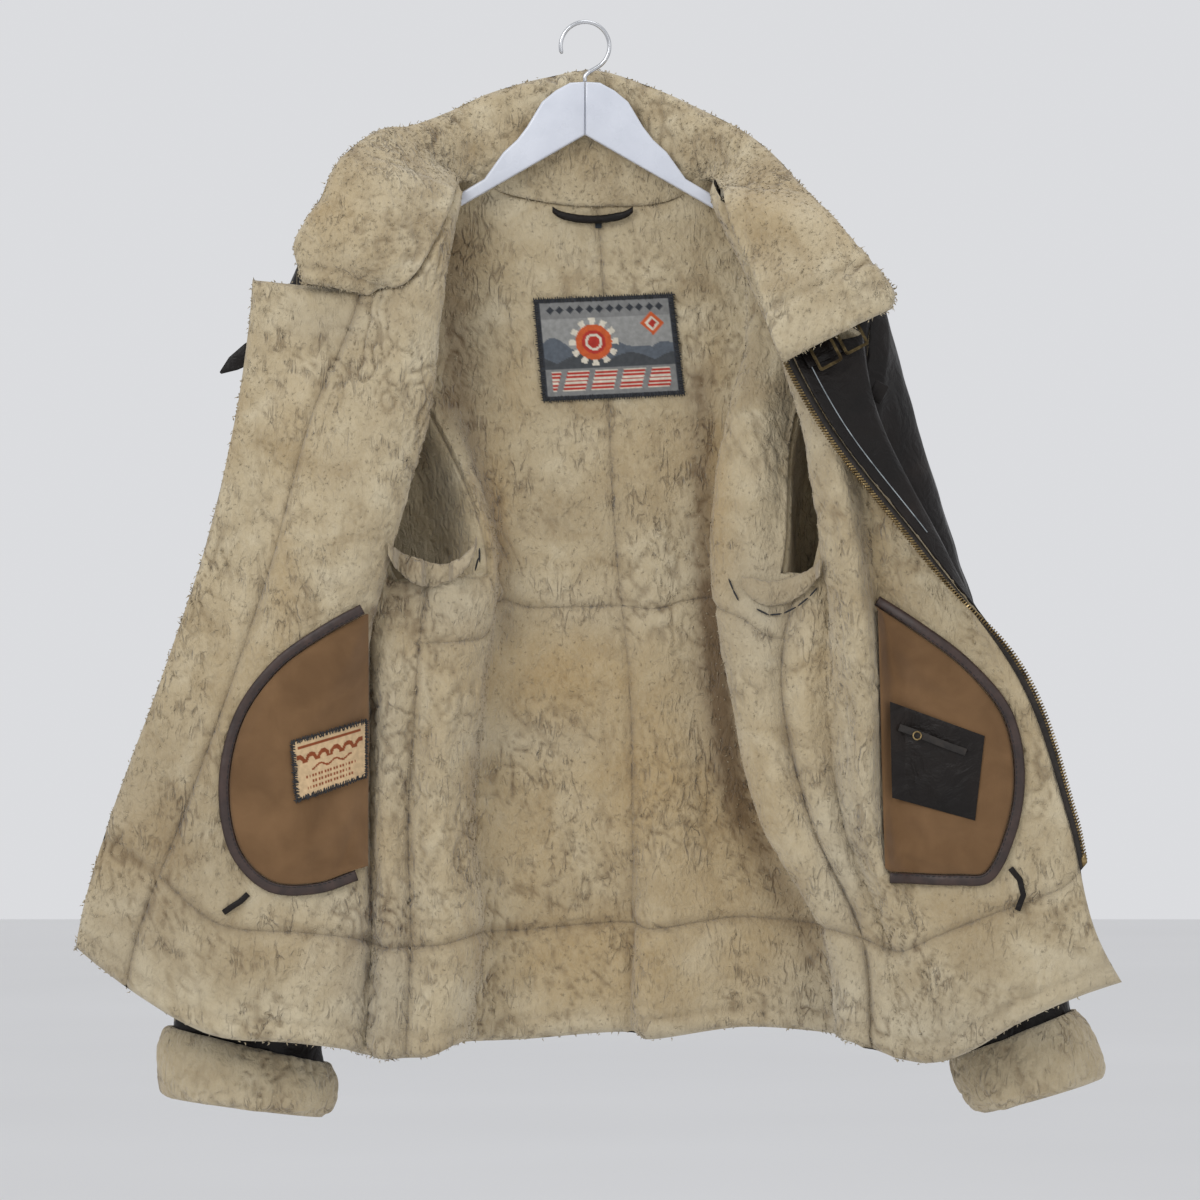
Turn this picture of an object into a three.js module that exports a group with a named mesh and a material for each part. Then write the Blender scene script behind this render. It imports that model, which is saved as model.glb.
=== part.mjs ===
// A shearling jacket hung wide open on a wooden hanger, with its fleece side to the viewer.
// Millimetres. X runs to the viewer's right, Y away from the viewer and Z up.
// The origin is the top of the hollow of the hanger's hook, where a rail carries the hanger.
// Left and right are the viewer's.

import * as THREE from 'three';

// Wall thicknesses, hide and fleece together
const BODY_WALL = 7.5;
const COLLAR_WALL = 12;
const SLEEVE_WALL = 6;
const SEAM_INSET = 0.2;
const ARMHOLE_STEP = 6.4;

// Body of the jacket
const BAND_HEIGHT = 94;
const SHOULDER_ROUND = 16;
const SHOULDER_PART = 1.8;

// Hanger
const WOOD_THICKNESS = 12.4;
const HOOK_WIRE = 3.6;
const HOOK_RADIUS = 19;

const FLEECE = { color: 0xd3bd96, roughness: 0.95, metalness: 0 };
const LEATHER = { color: 0x2b211d, roughness: 0.45, metalness: 0 };
const BINDING = { color: 0x33221f, roughness: 0.5, metalness: 0 };
const COTTON = { color: 0x6e4c30, roughness: 0.9, metalness: 0 };
const LABEL_CLOTH = { color: 0xdcc29b, roughness: 0.85, metalness: 0 };
const PATCH_CLOTH = { color: 0x86857f, roughness: 0.85, metalness: 0 };
const BRASS = { color: 0x6e5a35, roughness: 0.4, metalness: 0.9 };
const TAPE = { color: 0x1c1715, roughness: 0.8, metalness: 0 };
const PAINTED_WOOD = { color: 0xd9dce6, roughness: 0.35, metalness: 0 };
const STEEL = { color: 0xb8bbc0, roughness: 0.25, metalness: 1 };

const jacket = new THREE.Group();

// Six times the volume that the faces close in, negative if they point inwards
function signedVolume(points, faces) {
  return faces.reduce((sum, [a, b, c]) => sum + points[a].dot(points[b].clone().cross(points[c])), 0);
}

// Puts one closed solid in the group. points are Vector3, faces are triples that index them.
function addSolid(name, points, faces, finish) {
  if (signedVolume(points, faces) < 0) faces.forEach((face) => face.reverse());
  const geometry = new THREE.BufferGeometry();
  const flat = points.flatMap((point) => [point.x, point.y, point.z]);
  geometry.setAttribute('position', new THREE.Float32BufferAttribute(flat, 3));
  geometry.setIndex(faces.flat());
  geometry.computeVertexNormals();
  return addGeometry(name, geometry, finish);
}

function addGeometry(name, geometry, finish) {
  const mesh = new THREE.Mesh(geometry, new THREE.MeshStandardMaterial(finish));
  mesh.name = name;
  jacket.add(mesh);
  return mesh;
}

// A smooth curve through values at given heights, with slopes from the neighbours on each side
function curveThrough(heights, values) {
  const last = heights.length - 1;
  const slope = (k) => {
    const before = Math.max(k - 1, 0);
    const after = Math.min(k + 1, last);
    return (values[after] - values[before]) / (heights[after] - heights[before]);
  };
  return (height) => {
    let k = 0;
    while (k < last - 1 && height < heights[k + 1]) k += 1;
    const span = heights[k + 1] - heights[k];
    const t = THREE.MathUtils.clamp((height - heights[k]) / span, 0, 1);
    const t2 = t * t;
    const t3 = t2 * t;
    return (2 * t3 - 3 * t2 + 1) * values[k] + (t3 - 2 * t2 + t) * span * slope(k)
      + (3 * t2 - 2 * t3) * values[k + 1] + (t3 - t2) * span * slope(k + 1);
  };
}

// Heights at which each line down the body is measured
const LEVELS = { neck: -150, chest: -240, arm: -340, under: -450, pocket: -560, waist: -680, band: -780, hem: -880 };

// The body is one sheet of fleece. Each row is a line down it, from the left front's free edge,
// round the back, to the zip edge of the right front. top and hem are the heights of its ends.
// cells counts the columns of facets to the next line. over is 1 where the line starts on top of
// the hanger's arm. Then come its places [x, y] at the levels above, in their order.
const LINES = [
  // name, top, hem, cells, over, neck, chest, arm, under, pocket, waist, band, hem
  ['flap_edge', -221, -787, 2, 0,
    [-280, -60], [-283, -64], [-297, -66], [-323, -64], [-360, -60], [-404, -56], [-431, -54], [-436, -52]],
  ['flap_seam', -229, -821, 2, 0,
    [-180, -66], [-192, -70], [-232, -74], [-262, -74], [-298, -68], [-342, -62], [-380, -58], [-398, -56]],
  ['front_left', -226, -861, 2, 0,
    [-160, -72], [-171, -76], [-199, -82], [-226, -82], [-254, -74], [-289, -66], [-312, -62], [-318, -60]],
  ['pocket_left', -219, -868, 3, 0,
    [-138, -72], [-149, -82], [-168, -88], [-195, -88], [-216, -68], [-232, -64], [-242, -62], [-246, -60]],
  ['roll_left', -160, -874, 3, 0,
    [-113, -44], [-124, -62], [-136, -66], [-167, -68], [-192, -50], [-194, -46], [-194, -50], [-200, -54]],
  ['valley_left', -133, -878, 3, 1,
    [-112, -17], [-142, -38], [-158, -44], [-187, -50], [-184, -26], [-184, -26], [-182, -31], [-188, -41]],
  ['lobe_left', -200, -882, 2, 1,
    [-238, -18], [-241, -30], [-222, -38], [-172, -38], [-166, -44], [-168, -46], [-166, -50], [-172, -56]],
  ['side_seam_left', -200, -881, 2, 1,
    [-238, -6], [-230, -20], [-190, -28], [-140, -34], [-143, -37], [-150, -36], [-148, -40], [-152, -48]],
  ['back_lobe_left', -200, -879, 2, 1,
    [-236, 6], [-215, -4], [-155, -18], [-110, -32], [-117, -46], [-126, -48], [-120, -50], [-130, -56]],
  ['fold_left', -200, -871, 3, 1,
    [-236, 17], [-194, 16], [-128, 0], [-84, -20], [-93, -26], [-103, -28], [-95, -30], [-111, -36]],
  ['root_left', -131, -870, 3, 1,
    [-106, 19], [-126, 20], [-104, 18], [-74, 12], [-84, 8], [-95, 8], [-86, 6], [-100, 0]],
  ['back_left', -145, -869, 4, 0,
    [-62, 20], [-75, 23], [-60, 25], [-50, 26], [-48, 27], [-54, 28], [-50, 26], [-55, 22]],
  ['centre_seam', -151, -863, 2, 0,
    [10, 21], [17, 24], [21, 27], [27, 28], [38, 28], [41, 27], [40, 24], [38, 21]],
  ['centre_ridge', -150, -868, 3, 0,
    [44, 21], [50, 23], [54, 26], [58, 27], [64, 24], [66, 18], [55, 10], [51, 5]],
  ['back_right', -147, -858, 3, 0,
    [74, 20], [92, 22], [90, 24], [84, 25], [92, 26], [112, 26], [136, 20], [140, 17]],
  ['root_right', -131, -864, 3, 1,
    [106, 19], [138, 18], [136, 10], [123, 8], [137, 10], [163, 12], [205, 10], [218, 6]],
  ['fold_right', -149, -866, 2, 1,
    [140, 19], [150, 6], [124, -18], [110, -26], [125, -30], [153, -34], [208, -34], [219, -38]],
  ['side_face_right', -171, -868, 2, 1,
    [180, 18], [182, 2], [148, -30], [138, -38], [138, -44], [168, -46], [218, -44], [227, -47]],
  ['back_lobe_right', -200, -871, 2, 1,
    [236, 17], [218, 14], [178, -12], [170, -32], [152, -46], [180, -47], [226, -45], [235, -48]],
  ['side_seam_right', -200, -874, 2, 1,
    [238, 6], [228, -8], [205, -26], [186, -38], [167, -38], [192, -40], [236, -40], [244, -44]],
  ['lobe_right', -200, -879, 2, 1,
    [238, -18], [240, -30], [230, -38], [200, -42], [184, -47], [206, -49], [246, -47], [259, -54]],
  ['valley_right', -133, -883, 2, 1,
    [112, -17], [158, -34], [203, -48], [213, -50], [206, -40], [220, -40], [256, -44], [273, -52]],
  ['roll_right', -160, -885, 3, 0,
    [113, -44], [152, -46], [186, -64], [203, -67], [218, -52], [228, -54], [264, -51], [289, -57]],
  ['crest_right', -200, -882, 2, 0,
    [130, -50], [174, -50], [206, -80], [224, -84], [237, -72], [240, -66], [274, -58], [309, -60]],
  ['pocket_right', -228, -873, 3, 0,
    [160, -48], [192, -48], [225, -60], [242, -56], [257, -48], [258, -48], [296, -54], [333, -58]],
  ['front_right', -252, -852, 2, 0,
    [190, -48], [208, -50], [238, -60], [270, -66], [308, -68], [330, -66], [352, -62], [372, -60]],
  ['turned_edge', -268, -829, 3, 0,
    [215, -56], [228, -62], [246, -74], [301, -79], [354, -74], [392, -70], [414, -66], [417, -62]],
  ['zip_edge', -277, -816, 1, 0,
    [158, -58], [160, -66], [204, -92], [288, -92], [367, -80], [409, -74], [435, -68], [497, -64]],
];

// Rows of the sheet: 0 is the top edge, 1 the hem band's seam and 2 the hem
const ARMHOLE_END = 0.468;
const YOKE_SEAM = 0.561;
const ROWS = [0, 0.006, 0.017, 0.035, 0.07, 0.12, 0.18, 0.24, 0.3, 0.36, 0.415, ARMHOLE_END, 0.515, YOKE_SEAM,
  0.62, 0.68, 0.74, 0.8, 0.86, 0.93, 1, 1.33, 1.66, 2];

const levelHeights = Object.values(LEVELS);
const lines = LINES.map(([name, top, hem, cells, over, ...places]) => ({
  name,
  top,
  hem,
  cells,
  over,
  x: curveThrough(levelHeights, places.map((place) => place[0])),
  y: curveThrough(levelHeights, places.map((place) => place[1])),
}));

// Height of a row on a line
function rowHeight(line, row) {
  const bandTop = line.hem + BAND_HEIGHT;
  return row <= 1 ? THREE.MathUtils.lerp(line.top, bandTop, row) : THREE.MathUtils.lerp(bandTop, line.hem, row - 1);
}

// How far a row has come round the quarter turn over the hanger's arm, from 0 on top to 1
function turnOf(line, row) {
  if (!line.over) return 1;
  const down = Math.min((line.top - rowHeight(line, row)) / SHOULDER_ROUND, 1);
  return Math.sqrt(1 - (1 - down) ** 2);
}

function linePoint(line, row) {
  const z = rowHeight(line, row);
  const y = line.y(z);
  const turn = turnOf(line, row);
  return new THREE.Vector3(line.x(z), y * turn + (1 - turn) * Math.sign(y) * SHOULDER_PART, z);
}

// Centripetal spline across the lines, so that near and far lines join without loops
function across(before, start, end, after, t) {
  const step = (a, b) => Math.max(Math.sqrt(a.distanceTo(b)), 0.5);
  const first = step(before, start);
  const middle = step(start, end);
  const third = step(end, after);
  const result = new THREE.Vector3();
  for (const axis of ['x', 'y', 'z']) {
    const slopeStart = ((start[axis] - before[axis]) / first - (end[axis] - before[axis]) / (first + middle)
      + (end[axis] - start[axis]) / middle) * middle;
    const slopeEnd = ((end[axis] - start[axis]) / middle - (after[axis] - start[axis]) / (middle + third)
      + (after[axis] - end[axis]) / third) * middle;
    const t2 = t * t;
    const t3 = t2 * t;
    result[axis] = (2 * t3 - 3 * t2 + 1) * start[axis] + (t3 - 2 * t2 + t) * slopeStart
      + (3 * t2 - 2 * t3) * end[axis] + (t3 - t2) * slopeEnd;
  }
  return result;
}

// The sheet's lattice, sheet[row][column], and the column at which each line lies
const columnOf = {};
const columnSteps = [];
lines.forEach((line, k) => {
  columnOf[line.name] = columnSteps.length;
  const count = k < lines.length - 1 ? line.cells : 1;
  for (let step = 0; step < count; step += 1) columnSteps.push({ k, t: step / count });
});
const sheet = ROWS.map((row) => {
  const knots = lines.map((line) => linePoint(line, row));
  const knot = (k) => knots[THREE.MathUtils.clamp(k, 0, knots.length - 1)];
  return columnSteps.map(({ k, t }) => {
    if (t === 0) return knot(k).clone();
    const curved = across(knot(k - 1), knot(k), knot(k + 1), knot(k + 2), t);
    const straight = knot(k).clone().lerp(knot(k + 1), t);
    const turn = lines[k].over && lines[k + 1].over ? Math.min(turnOf(lines[k], row), turnOf(lines[k + 1], row)) : 1;
    return straight.lerp(curved, turn);
  });
});

// Unit normals of a lattice, on the side that faces the viewer where the sheet lies flat
function latticeNormals(lattice) {
  const rows = lattice.length;
  const columns = lattice[0].length;
  return lattice.map((points, j) => points.map((_, i) => {
    const right = lattice[j][Math.min(i + 1, columns - 1)].clone().sub(lattice[j][Math.max(i - 1, 0)]);
    const down = lattice[Math.min(j + 1, rows - 1)][i].clone().sub(lattice[Math.max(j - 1, 0)][i]);
    return down.cross(right).normalize();
  }));
}

// A closed wall through the lattice cells that belong(row, column) picks, half its thickness on
// each side of the lattice. Its edges stop short by the seam inset.
function wallOf(name, lattice, normals, thickness, belongs, finish, closedRound = false) {
  const rows = lattice.length;
  const columns = lattice[0].length;
  const wrap = (i) => (closedRound ? (i + columns) % columns : i);
  const cellColumns = closedRound ? columns : columns - 1;
  const has = (j, i) => {
    const column = wrap(i);
    return j >= 0 && j < rows - 1 && column >= 0 && column < cellColumns && belongs(j, column);
  };
  const indexOf = new Map();
  const points = [];
  const faces = [];
  const corner = (j, i, side) => {
    const column = wrap(i);
    const key = `${j}/${column}/${side}`;
    if (indexOf.has(key)) return indexOf.get(key);
    const place = lattice[j][column].clone();
    const pull = new THREE.Vector3();
    let count = 0;
    for (const [dj, di] of [[0, 0], [0, -1], [-1, 0], [-1, -1]]) {
      if (!has(j + dj, column + di)) continue;
      const opposite = lattice[j + (dj === 0 ? 1 : -1)][wrap(column + (di === 0 ? 1 : -1))];
      pull.add(opposite.clone().sub(place).normalize());
      count += 1;
    }
    if (count < 4) place.add(pull.normalize().multiplyScalar(count === 2 ? SEAM_INSET : SEAM_INSET * 1.4));
    place.addScaledVector(normals[j][column], (side * thickness) / 2);
    indexOf.set(key, points.length);
    points.push(place);
    return points.length - 1;
  };
  for (let j = 0; j < rows - 1; j += 1) {
    for (let i = 0; i < cellColumns; i += 1) {
      if (!has(j, i)) continue;
      const ring = [[j, i], [j + 1, i], [j + 1, i + 1], [j, i + 1]];
      const near = ring.map(([row, column]) => corner(row, column, 1));
      const far = ring.map(([row, column]) => corner(row, column, -1));
      faces.push([near[0], near[1], near[2]], [near[0], near[2], near[3]]);
      faces.push([far[0], far[2], far[1]], [far[0], far[3], far[2]]);
      const neighbours = [[j, i - 1], [j + 1, i], [j, i + 1], [j - 1, i]];
      neighbours.forEach(([row, column], side) => {
        if (has(row, column)) return;
        const next = (side + 1) % 4;
        // Both panels at a seam split its face along the same diagonal
        const forward = ring[side][0] * columns + wrap(ring[side][1]) < ring[next][0] * columns + wrap(ring[next][1]);
        if (forward) faces.push([near[next], near[side], far[next]], [near[side], far[side], far[next]]);
        else faces.push([near[next], near[side], far[side]], [near[next], far[side], far[next]]);
      });
    }
  }
  return addSolid(name, points, faces, finish);
}

// Body panels
const sheetNormals = latticeNormals(sheet);
const armholeRow = ROWS.indexOf(ARMHOLE_END);
const yokeRow = ROWS.indexOf(YOKE_SEAM);
const bandRow = ROWS.indexOf(1);
const endRow = ROWS.length - 1;
const isArmhole = (row, column) => row < armholeRow
  && ((column >= columnOf.lobe_left && column < columnOf.fold_left)
    || (column >= columnOf.back_lobe_right && column < columnOf.lobe_right));

// name, first line, last line, first row, last row
const PANELS = [
  ['wind_flap', 'flap_edge', 'flap_seam', 0, endRow],
  ['front_left', 'flap_seam', 'side_seam_left', 0, bandRow],
  ['front_band_left', 'flap_seam', 'side_seam_left', bandRow, endRow],
  ['back_upper_left', 'side_seam_left', 'centre_seam', 0, yokeRow],
  ['back_upper_right', 'centre_seam', 'side_seam_right', 0, yokeRow],
  ['back_lower_left', 'side_seam_left', 'centre_seam', yokeRow, bandRow],
  ['back_lower_right', 'centre_seam', 'side_seam_right', yokeRow, bandRow],
  ['back_band', 'side_seam_left', 'side_seam_right', bandRow, endRow],
  ['front_right', 'side_seam_right', 'zip_edge', 0, bandRow],
  ['front_band_right', 'side_seam_right', 'zip_edge', bandRow, endRow],
];
for (const [name, from, to, firstRow, lastRow] of PANELS) {
  wallOf(name, sheet, sheetNormals, BODY_WALL, (row, column) => row >= firstRow && row < lastRow
    && column >= columnOf[from] && column < columnOf[to] && !isArmhole(row, column), FLEECE);
}

// Sleeves. The first ring is the armhole's own edge, and each row below is a flat oval ring:
// its outer and inner ends [x, z], the depth of its middle, its half depth, and how far the back
// of the ring is shifted towards the middle of the jacket.
const SLEEVES = {
  left: {
    down: 'lobe_left', up: 'fold_left',
    // outer, inner, y, half depth, shift
    rings: [
      [[-246, -232], [-138, -492], 4, 34, 40],
      [[-262, -270], [-152, -515], 14, 36, 26],
      [[-280, -330], [-172, -550], 25, 35, 12],
      [[-299, -430], [-188, -605], 32, 33, 4],
      [[-317, -540], [-203, -668], 35, 31, 0],
      [[-332, -660], [-214, -745], 36, 30, 0],
      [[-344, -770], [-222, -825], 35, 29, 0],
      [[-350, -860], [-228, -888], 34, 28, 0],
      [[-351, -898], [-230, -918], 34, 28, 0],
    ],
  },
  right: {
    down: 'lobe_right', up: 'back_lobe_right',
    rings: [
      [[248, -238], [186, -492], 4, 34, -24],
      [[262, -280], [190, -515], 14, 36, -16],
      [[288, -362], [200, -558], 25, 35, -8],
      [[316, -448], [214, -605], 32, 33, 0],
      [[343, -540], [234, -668], 35, 31, 0],
      [[368, -640], [258, -738], 36, 30, 0],
      [[392, -745], [288, -815], 35, 29, 0],
      [[415, -846], [322, -882], 34, 28, 0],
      [[427, -884], [338, -913], 34, 28, 0],
    ],
  },
};

// Oval ring point at a turn, 0 at the outer end. Positive turns pass over the front.
function ovalPoint([outer, inner, y, halfDepth, shift], turn, grow = 0) {
  const angle = turn * 2 * Math.PI;
  const middle = new THREE.Vector3((outer[0] + inner[0]) / 2, y, (outer[1] + inner[1]) / 2);
  const toOuter = new THREE.Vector3(outer[0] - middle.x, 0, outer[1] - middle.z);
  toOuter.setLength(toOuter.length() + grow);
  const toBack = new THREE.Vector3(shift, halfDepth, 0);
  toBack.setLength(toBack.length() + grow);
  return middle.addScaledVector(toOuter, Math.cos(angle)).addScaledVector(toBack, -Math.sin(angle));
}

// The armhole's edge, from the top down the front, across the underarm and up the back
function armholeLoop(down, up) {
  const loop = [];
  const from = columnOf[down];
  const to = columnOf[up];
  const side = Math.sign(to - from);
  for (let row = 0; row < armholeRow; row += 1) loop.push(sheet[row][from]);
  for (let column = from; column !== to; column += side) loop.push(sheet[armholeRow][column]);
  for (let row = armholeRow; row >= 0; row -= 1) loop.push(sheet[row][to]);
  return loop;
}

const sleeveEnds = {};
for (const [side, { down, up, rings }] of Object.entries(SLEEVES)) {
  const loop = armholeLoop(down, up);
  const lengths = [0];
  for (let k = 1; k < loop.length; k += 1) lengths.push(lengths[k - 1] + loop[k].distanceTo(loop[k - 1]));
  const total = lengths[loop.length - 1];
  const turns = lengths.map((length) => (length / total) * (1 - 1 / loop.length) + 0.5 / loop.length);
  const lattice = rings.map((ring) => turns.map((turn) => ovalPoint(ring, turn)));
  const seamRing = loop.map((point, k) => {
    const towards = lattice[0][k].clone().sub(point);
    return point.clone().add(towards.setLength(ARMHOLE_STEP));
  });
  lattice.unshift(seamRing);
  if (side === 'left') lattice.forEach((ring) => ring.reverse());
  const columns = lattice[0].length;
  const normals = lattice.map((ring, j) => ring.map((_, i) => {
    const right = ring[(i + 1) % columns].clone().sub(ring[(i + columns - 1) % columns]);
    const below = lattice[Math.min(j + 1, lattice.length - 1)][i].clone().sub(lattice[Math.max(j - 1, 0)][i]);
    return below.cross(right).normalize();
  }));
  // The sleeve is cut in two pieces, seamed along its outer edge and its underarm
  const frontColumns = turns.filter((turn) => turn < 0.5).length;
  const isFront = (column) => {
    const cell = side === 'left' ? columns - 2 - column : column;
    return cell >= 0 && cell < frontColumns;
  };
  wallOf(`sleeve_${side}_front`, lattice, normals, SLEEVE_WALL, (_, column) => isFront(column), LEATHER, true);
  wallOf(`sleeve_${side}_back`, lattice, normals, SLEEVE_WALL, (_, column) => !isFront(column), LEATHER, true);
  sleeveEnds[side] = rings.slice(-2);
}

// A solid through rings of points, closed on itself or capped at both ends
function sweep(name, rings, finish, closed = false) {
  const size = rings[0].length;
  const points = rings.flat();
  const faces = [];
  const last = closed ? rings.length : rings.length - 1;
  for (let k = 0; k < last; k += 1) {
    const here = k * size;
    const there = ((k + 1) % rings.length) * size;
    for (let i = 0; i < size; i += 1) {
      const next = (i + 1) % size;
      faces.push([here + i, here + next, there + next], [here + i, there + next, there + i]);
    }
  }
  if (!closed) {
    const end = (rings.length - 1) * size;
    for (let i = 1; i < size - 1; i += 1) {
      faces.push([0, i + 1, i], [end, end + i, end + i + 1]);
    }
  }
  return addSolid(name, points, faces, finish);
}

// Cuffs, turned back over the sleeve ends. top and foot are how far they reach past the sleeve's
// last two rings, in parts of the way between those, and bulge is the fleece's thickness.
const CUFF = { top: 0.02, foot: 0.55, gap: 1.4, bulge: 17, rim: 4 };
const CUFF_TURNS = 26;
for (const [side, ends] of Object.entries(sleeveEnds)) {
  const outside = SLEEVE_WALL / 2 + CUFF.gap;
  // part of the cuff's height, distance from the sleeve's middle surface
  const profile = [[0.02, outside], [0.98, outside], [1, CUFF.rim + outside], [0.92, CUFF.bulge - 3],
    [0.7, CUFF.bulge], [0.35, CUFF.bulge - 1], [0.1, CUFF.bulge - 5], [0, CUFF.rim + outside]];
  const rings = [];
  for (let k = 0; k < CUFF_TURNS; k += 1) {
    rings.push(profile.map(([height, out]) => {
      const along = THREE.MathUtils.lerp(CUFF.top, 1 + CUFF.foot, height);
      return ovalPoint(ends[0], k / CUFF_TURNS, out).lerp(ovalPoint(ends[1], k / CUFF_TURNS, out), along);
    }));
  }
  sweep(`cuff_${side}`, rings, FLEECE, true);
}

// Collar: a band of fleece that stands at the back of the neck and lies open on both shoulders.
// Each row is a station along it: its edge at the neck, its free edge, and how far the fleece
// rolls forward between them.
const COLLAR = [
  // neck [x, y, z], free edge [x, y, z], roll
  [[-188, -72, -223], [-239, -76, -208], 6],
  [[-168, -78, -220], [-247, -78, -193], 8],
  [[-150, -83, -213], [-236, -80, -170], 10],
  [[-131, -67, -186], [-224, -80, -152], 12],
  [[-116, -46, -153], [-213, -70, -126], 13],
  [[-112.5, -20, -132.5], [-196, -54, -106], 11],
  [[-109, 2, -123.5], [-173, -34, -91], 9],
  [[-97, 16, -121.5], [-152, -20, -88], 7],
  [[-74, 21, -134.5], [-120, 4, -76], 4],
  [[-38, 21.5, -145.6], [-82, 15, -58], 3],
  [[-4, 21.5, -150], [-32, 18, -44], 4],
  [[20, 22, -150.1], [8, 20, -38], 4],
  [[46, 22, -149.5], [50, 18, -50], 4],
  [[76, 21, -142], [98, 6, -72], 5],
  [[97, 17, -121], [138, -12, -94], 7],
  [[109, 2, -122.5], [166, -32, -118], 9],
  [[115, -22, -131.5], [186, -50, -142], 11],
  [[121, -58, -154], [208, -68, -166], 13],
  [[134, -66, -190], [232, -80, -194], 12],
  [[147, -86, -224], [252, -92, -216], 10],
  [[155, -98, -258], [262, -97, -234], 7],
  [[167, -105, -288], [259, -99, -247], 4],
];
const COLLAR_CELLS = 2;
const COLLAR_ROWS = [0, 0.12, 0.35, 0.6, 0.82, 1];
const collarKnots = (which) => COLLAR.map((station) => new THREE.Vector3(...station[which]));
const neckKnots = collarKnots(0);
const freeKnots = collarKnots(1);
const along = (knots, k, t) => {
  const knot = (n) => knots[THREE.MathUtils.clamp(n, 0, knots.length - 1)];
  return t === 0 ? knot(k).clone() : across(knot(k - 1), knot(k), knot(k + 1), knot(k + 2), t);
};
const collarLattice = COLLAR_ROWS.map((part) => {
  const row = [];
  for (let n = 0; n <= (COLLAR.length - 1) * COLLAR_CELLS; n += 1) {
    const k = Math.floor(n / COLLAR_CELLS);
    const t = (n % COLLAR_CELLS) / COLLAR_CELLS;
    const roll = THREE.MathUtils.lerp(COLLAR[k][2], COLLAR[Math.min(k + 1, COLLAR.length - 1)][2], t);
    const point = along(freeKnots, k, t).lerp(along(neckKnots, k, t), part);
    point.y -= roll * Math.sin(Math.PI * part);
    row.push(point);
  }
  return row;
});
const collarNormals = latticeNormals(collarLattice);
wallOf('collar', collarLattice, collarNormals, COLLAR_WALL, () => true, FLEECE);

// Depth of a wall's face at a place [x, z]: the nearest to the viewer, or the farthest where side
// is -1. from and to bound the columns searched.
function faceOf({ lattice, normals, wall }, x, z, side = 1, from = 0, to = lattice[0].length - 1) {
  let found = null;
  const place = (j, i, out) => lattice[j][i].clone().addScaledVector(normals[j][i], (out * wall) / 2);
  const look = (a, b, c) => {
    const area = (b.x - a.x) * (c.z - a.z) - (c.x - a.x) * (b.z - a.z);
    const u = ((x - a.x) * (c.z - a.z) - (c.x - a.x) * (z - a.z)) / area;
    const v = ((b.x - a.x) * (z - a.z) - (x - a.x) * (b.z - a.z)) / area;
    if (!(u >= 0 && v >= 0 && u + v <= 1)) return;
    const y = a.y + u * (b.y - a.y) + v * (c.y - a.y);
    if (found === null || side * y < side * found) found = y;
  };
  for (let j = 0; j < lattice.length - 1; j += 1) {
    for (let i = from; i < to; i += 1) {
      for (const out of [1, -1]) {
        const [a, b, c, d] = [place(j, i, out), place(j + 1, i, out), place(j + 1, i + 1, out), place(j, i + 1, out)];
        look(a, b, c);
        look(a, c, d);
      }
    }
  }
  return found;
}
const body = { lattice: sheet, normals: sheetNormals, wall: BODY_WALL };
const bodyFace = (x, z, from, to, side = 1) => faceOf(body, x, z, side, columnOf[from], columnOf[to]);

// A thin piece over a grid of places [x, z]. depthAt gives the face that it lies on, and it is
// thick on the side away from that face. Returns its skin, so that other pieces can lie on it.
function layOn(name, grid, depthAt, lift, thickness, finish, side = 1) {
  const lattice = grid.map((row) => row.map(([x, z], i) => (
    new THREE.Vector3(x, depthAt(x, z, i) - side * (lift + thickness / 2), z))));
  const normals = grid.map((row) => row.map(() => new THREE.Vector3(0, -1, 0)));
  wallOf(name, lattice, normals, thickness, () => true, finish);
  return { lattice, normals, wall: thickness };
}

// Places on a four-sided outline: corners in turn from the top left, clockwise
function quadGrid(corners, columns, rows) {
  const [topLeft, topRight, lowRight, lowLeft] = corners.map(([x, z]) => new THREE.Vector2(x, z));
  const grid = [];
  for (let j = 0; j <= rows; j += 1) {
    const left = topLeft.clone().lerp(lowLeft, j / rows);
    const right = topRight.clone().lerp(lowRight, j / rows);
    grid.push(Array.from({ length: columns + 1 }, (_, i) => left.clone().lerp(right, i / columns).toArray()));
  }
  return grid;
}

// The face under a piece that bridges the small hollows near each place
const REACH = 4;
const overHollows = (face, reach = REACH) => (x, z) => Math.min(
  ...[[0, 0], [reach, 0], [-reach, 0], [0, reach], [0, -reach]]
    .map(([dx, dz]) => face(x + dx, z + dz)).filter((depth) => depth !== null),
);

// Pocket bags: brown cotton hung from the side of each front, bound with leather round the curve.
// The outline runs from the top of the straight side, round the curve, to its foot.
const POCKETS = {
  left: {
    hinge: [[-183, -504], [-184, -718]],
    from: 'flap_edge',
    to: 'lobe_left',
    outline: [[-190, -496], [-221, -513], [-264, -544], [-297, -590], [-310, -651], [-299, -709], [-268, -739],
      [-226, -741], [-192, -730]],
  },
  right: {
    hinge: [[248, -500], [254, -719]],
    from: 'crest_right',
    to: 'turned_edge',
    outline: [[250, -489], [281, -509], [327, -544], [361, -586], [372, -636], [365, -689], [343, -731], [314, -734],
      [258, -732]],
  },
};
const OUTLINE_STEPS = 26;
const BINDING_WIDTH = 9;
const BINDING_THICKNESS = 4.5;
const BAG_WALL = 2;
const BAG_LIFT = 0.8;
const BAG_PUFF = 5;
const BAG_ROWS = 5;
const bags = {};
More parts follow.
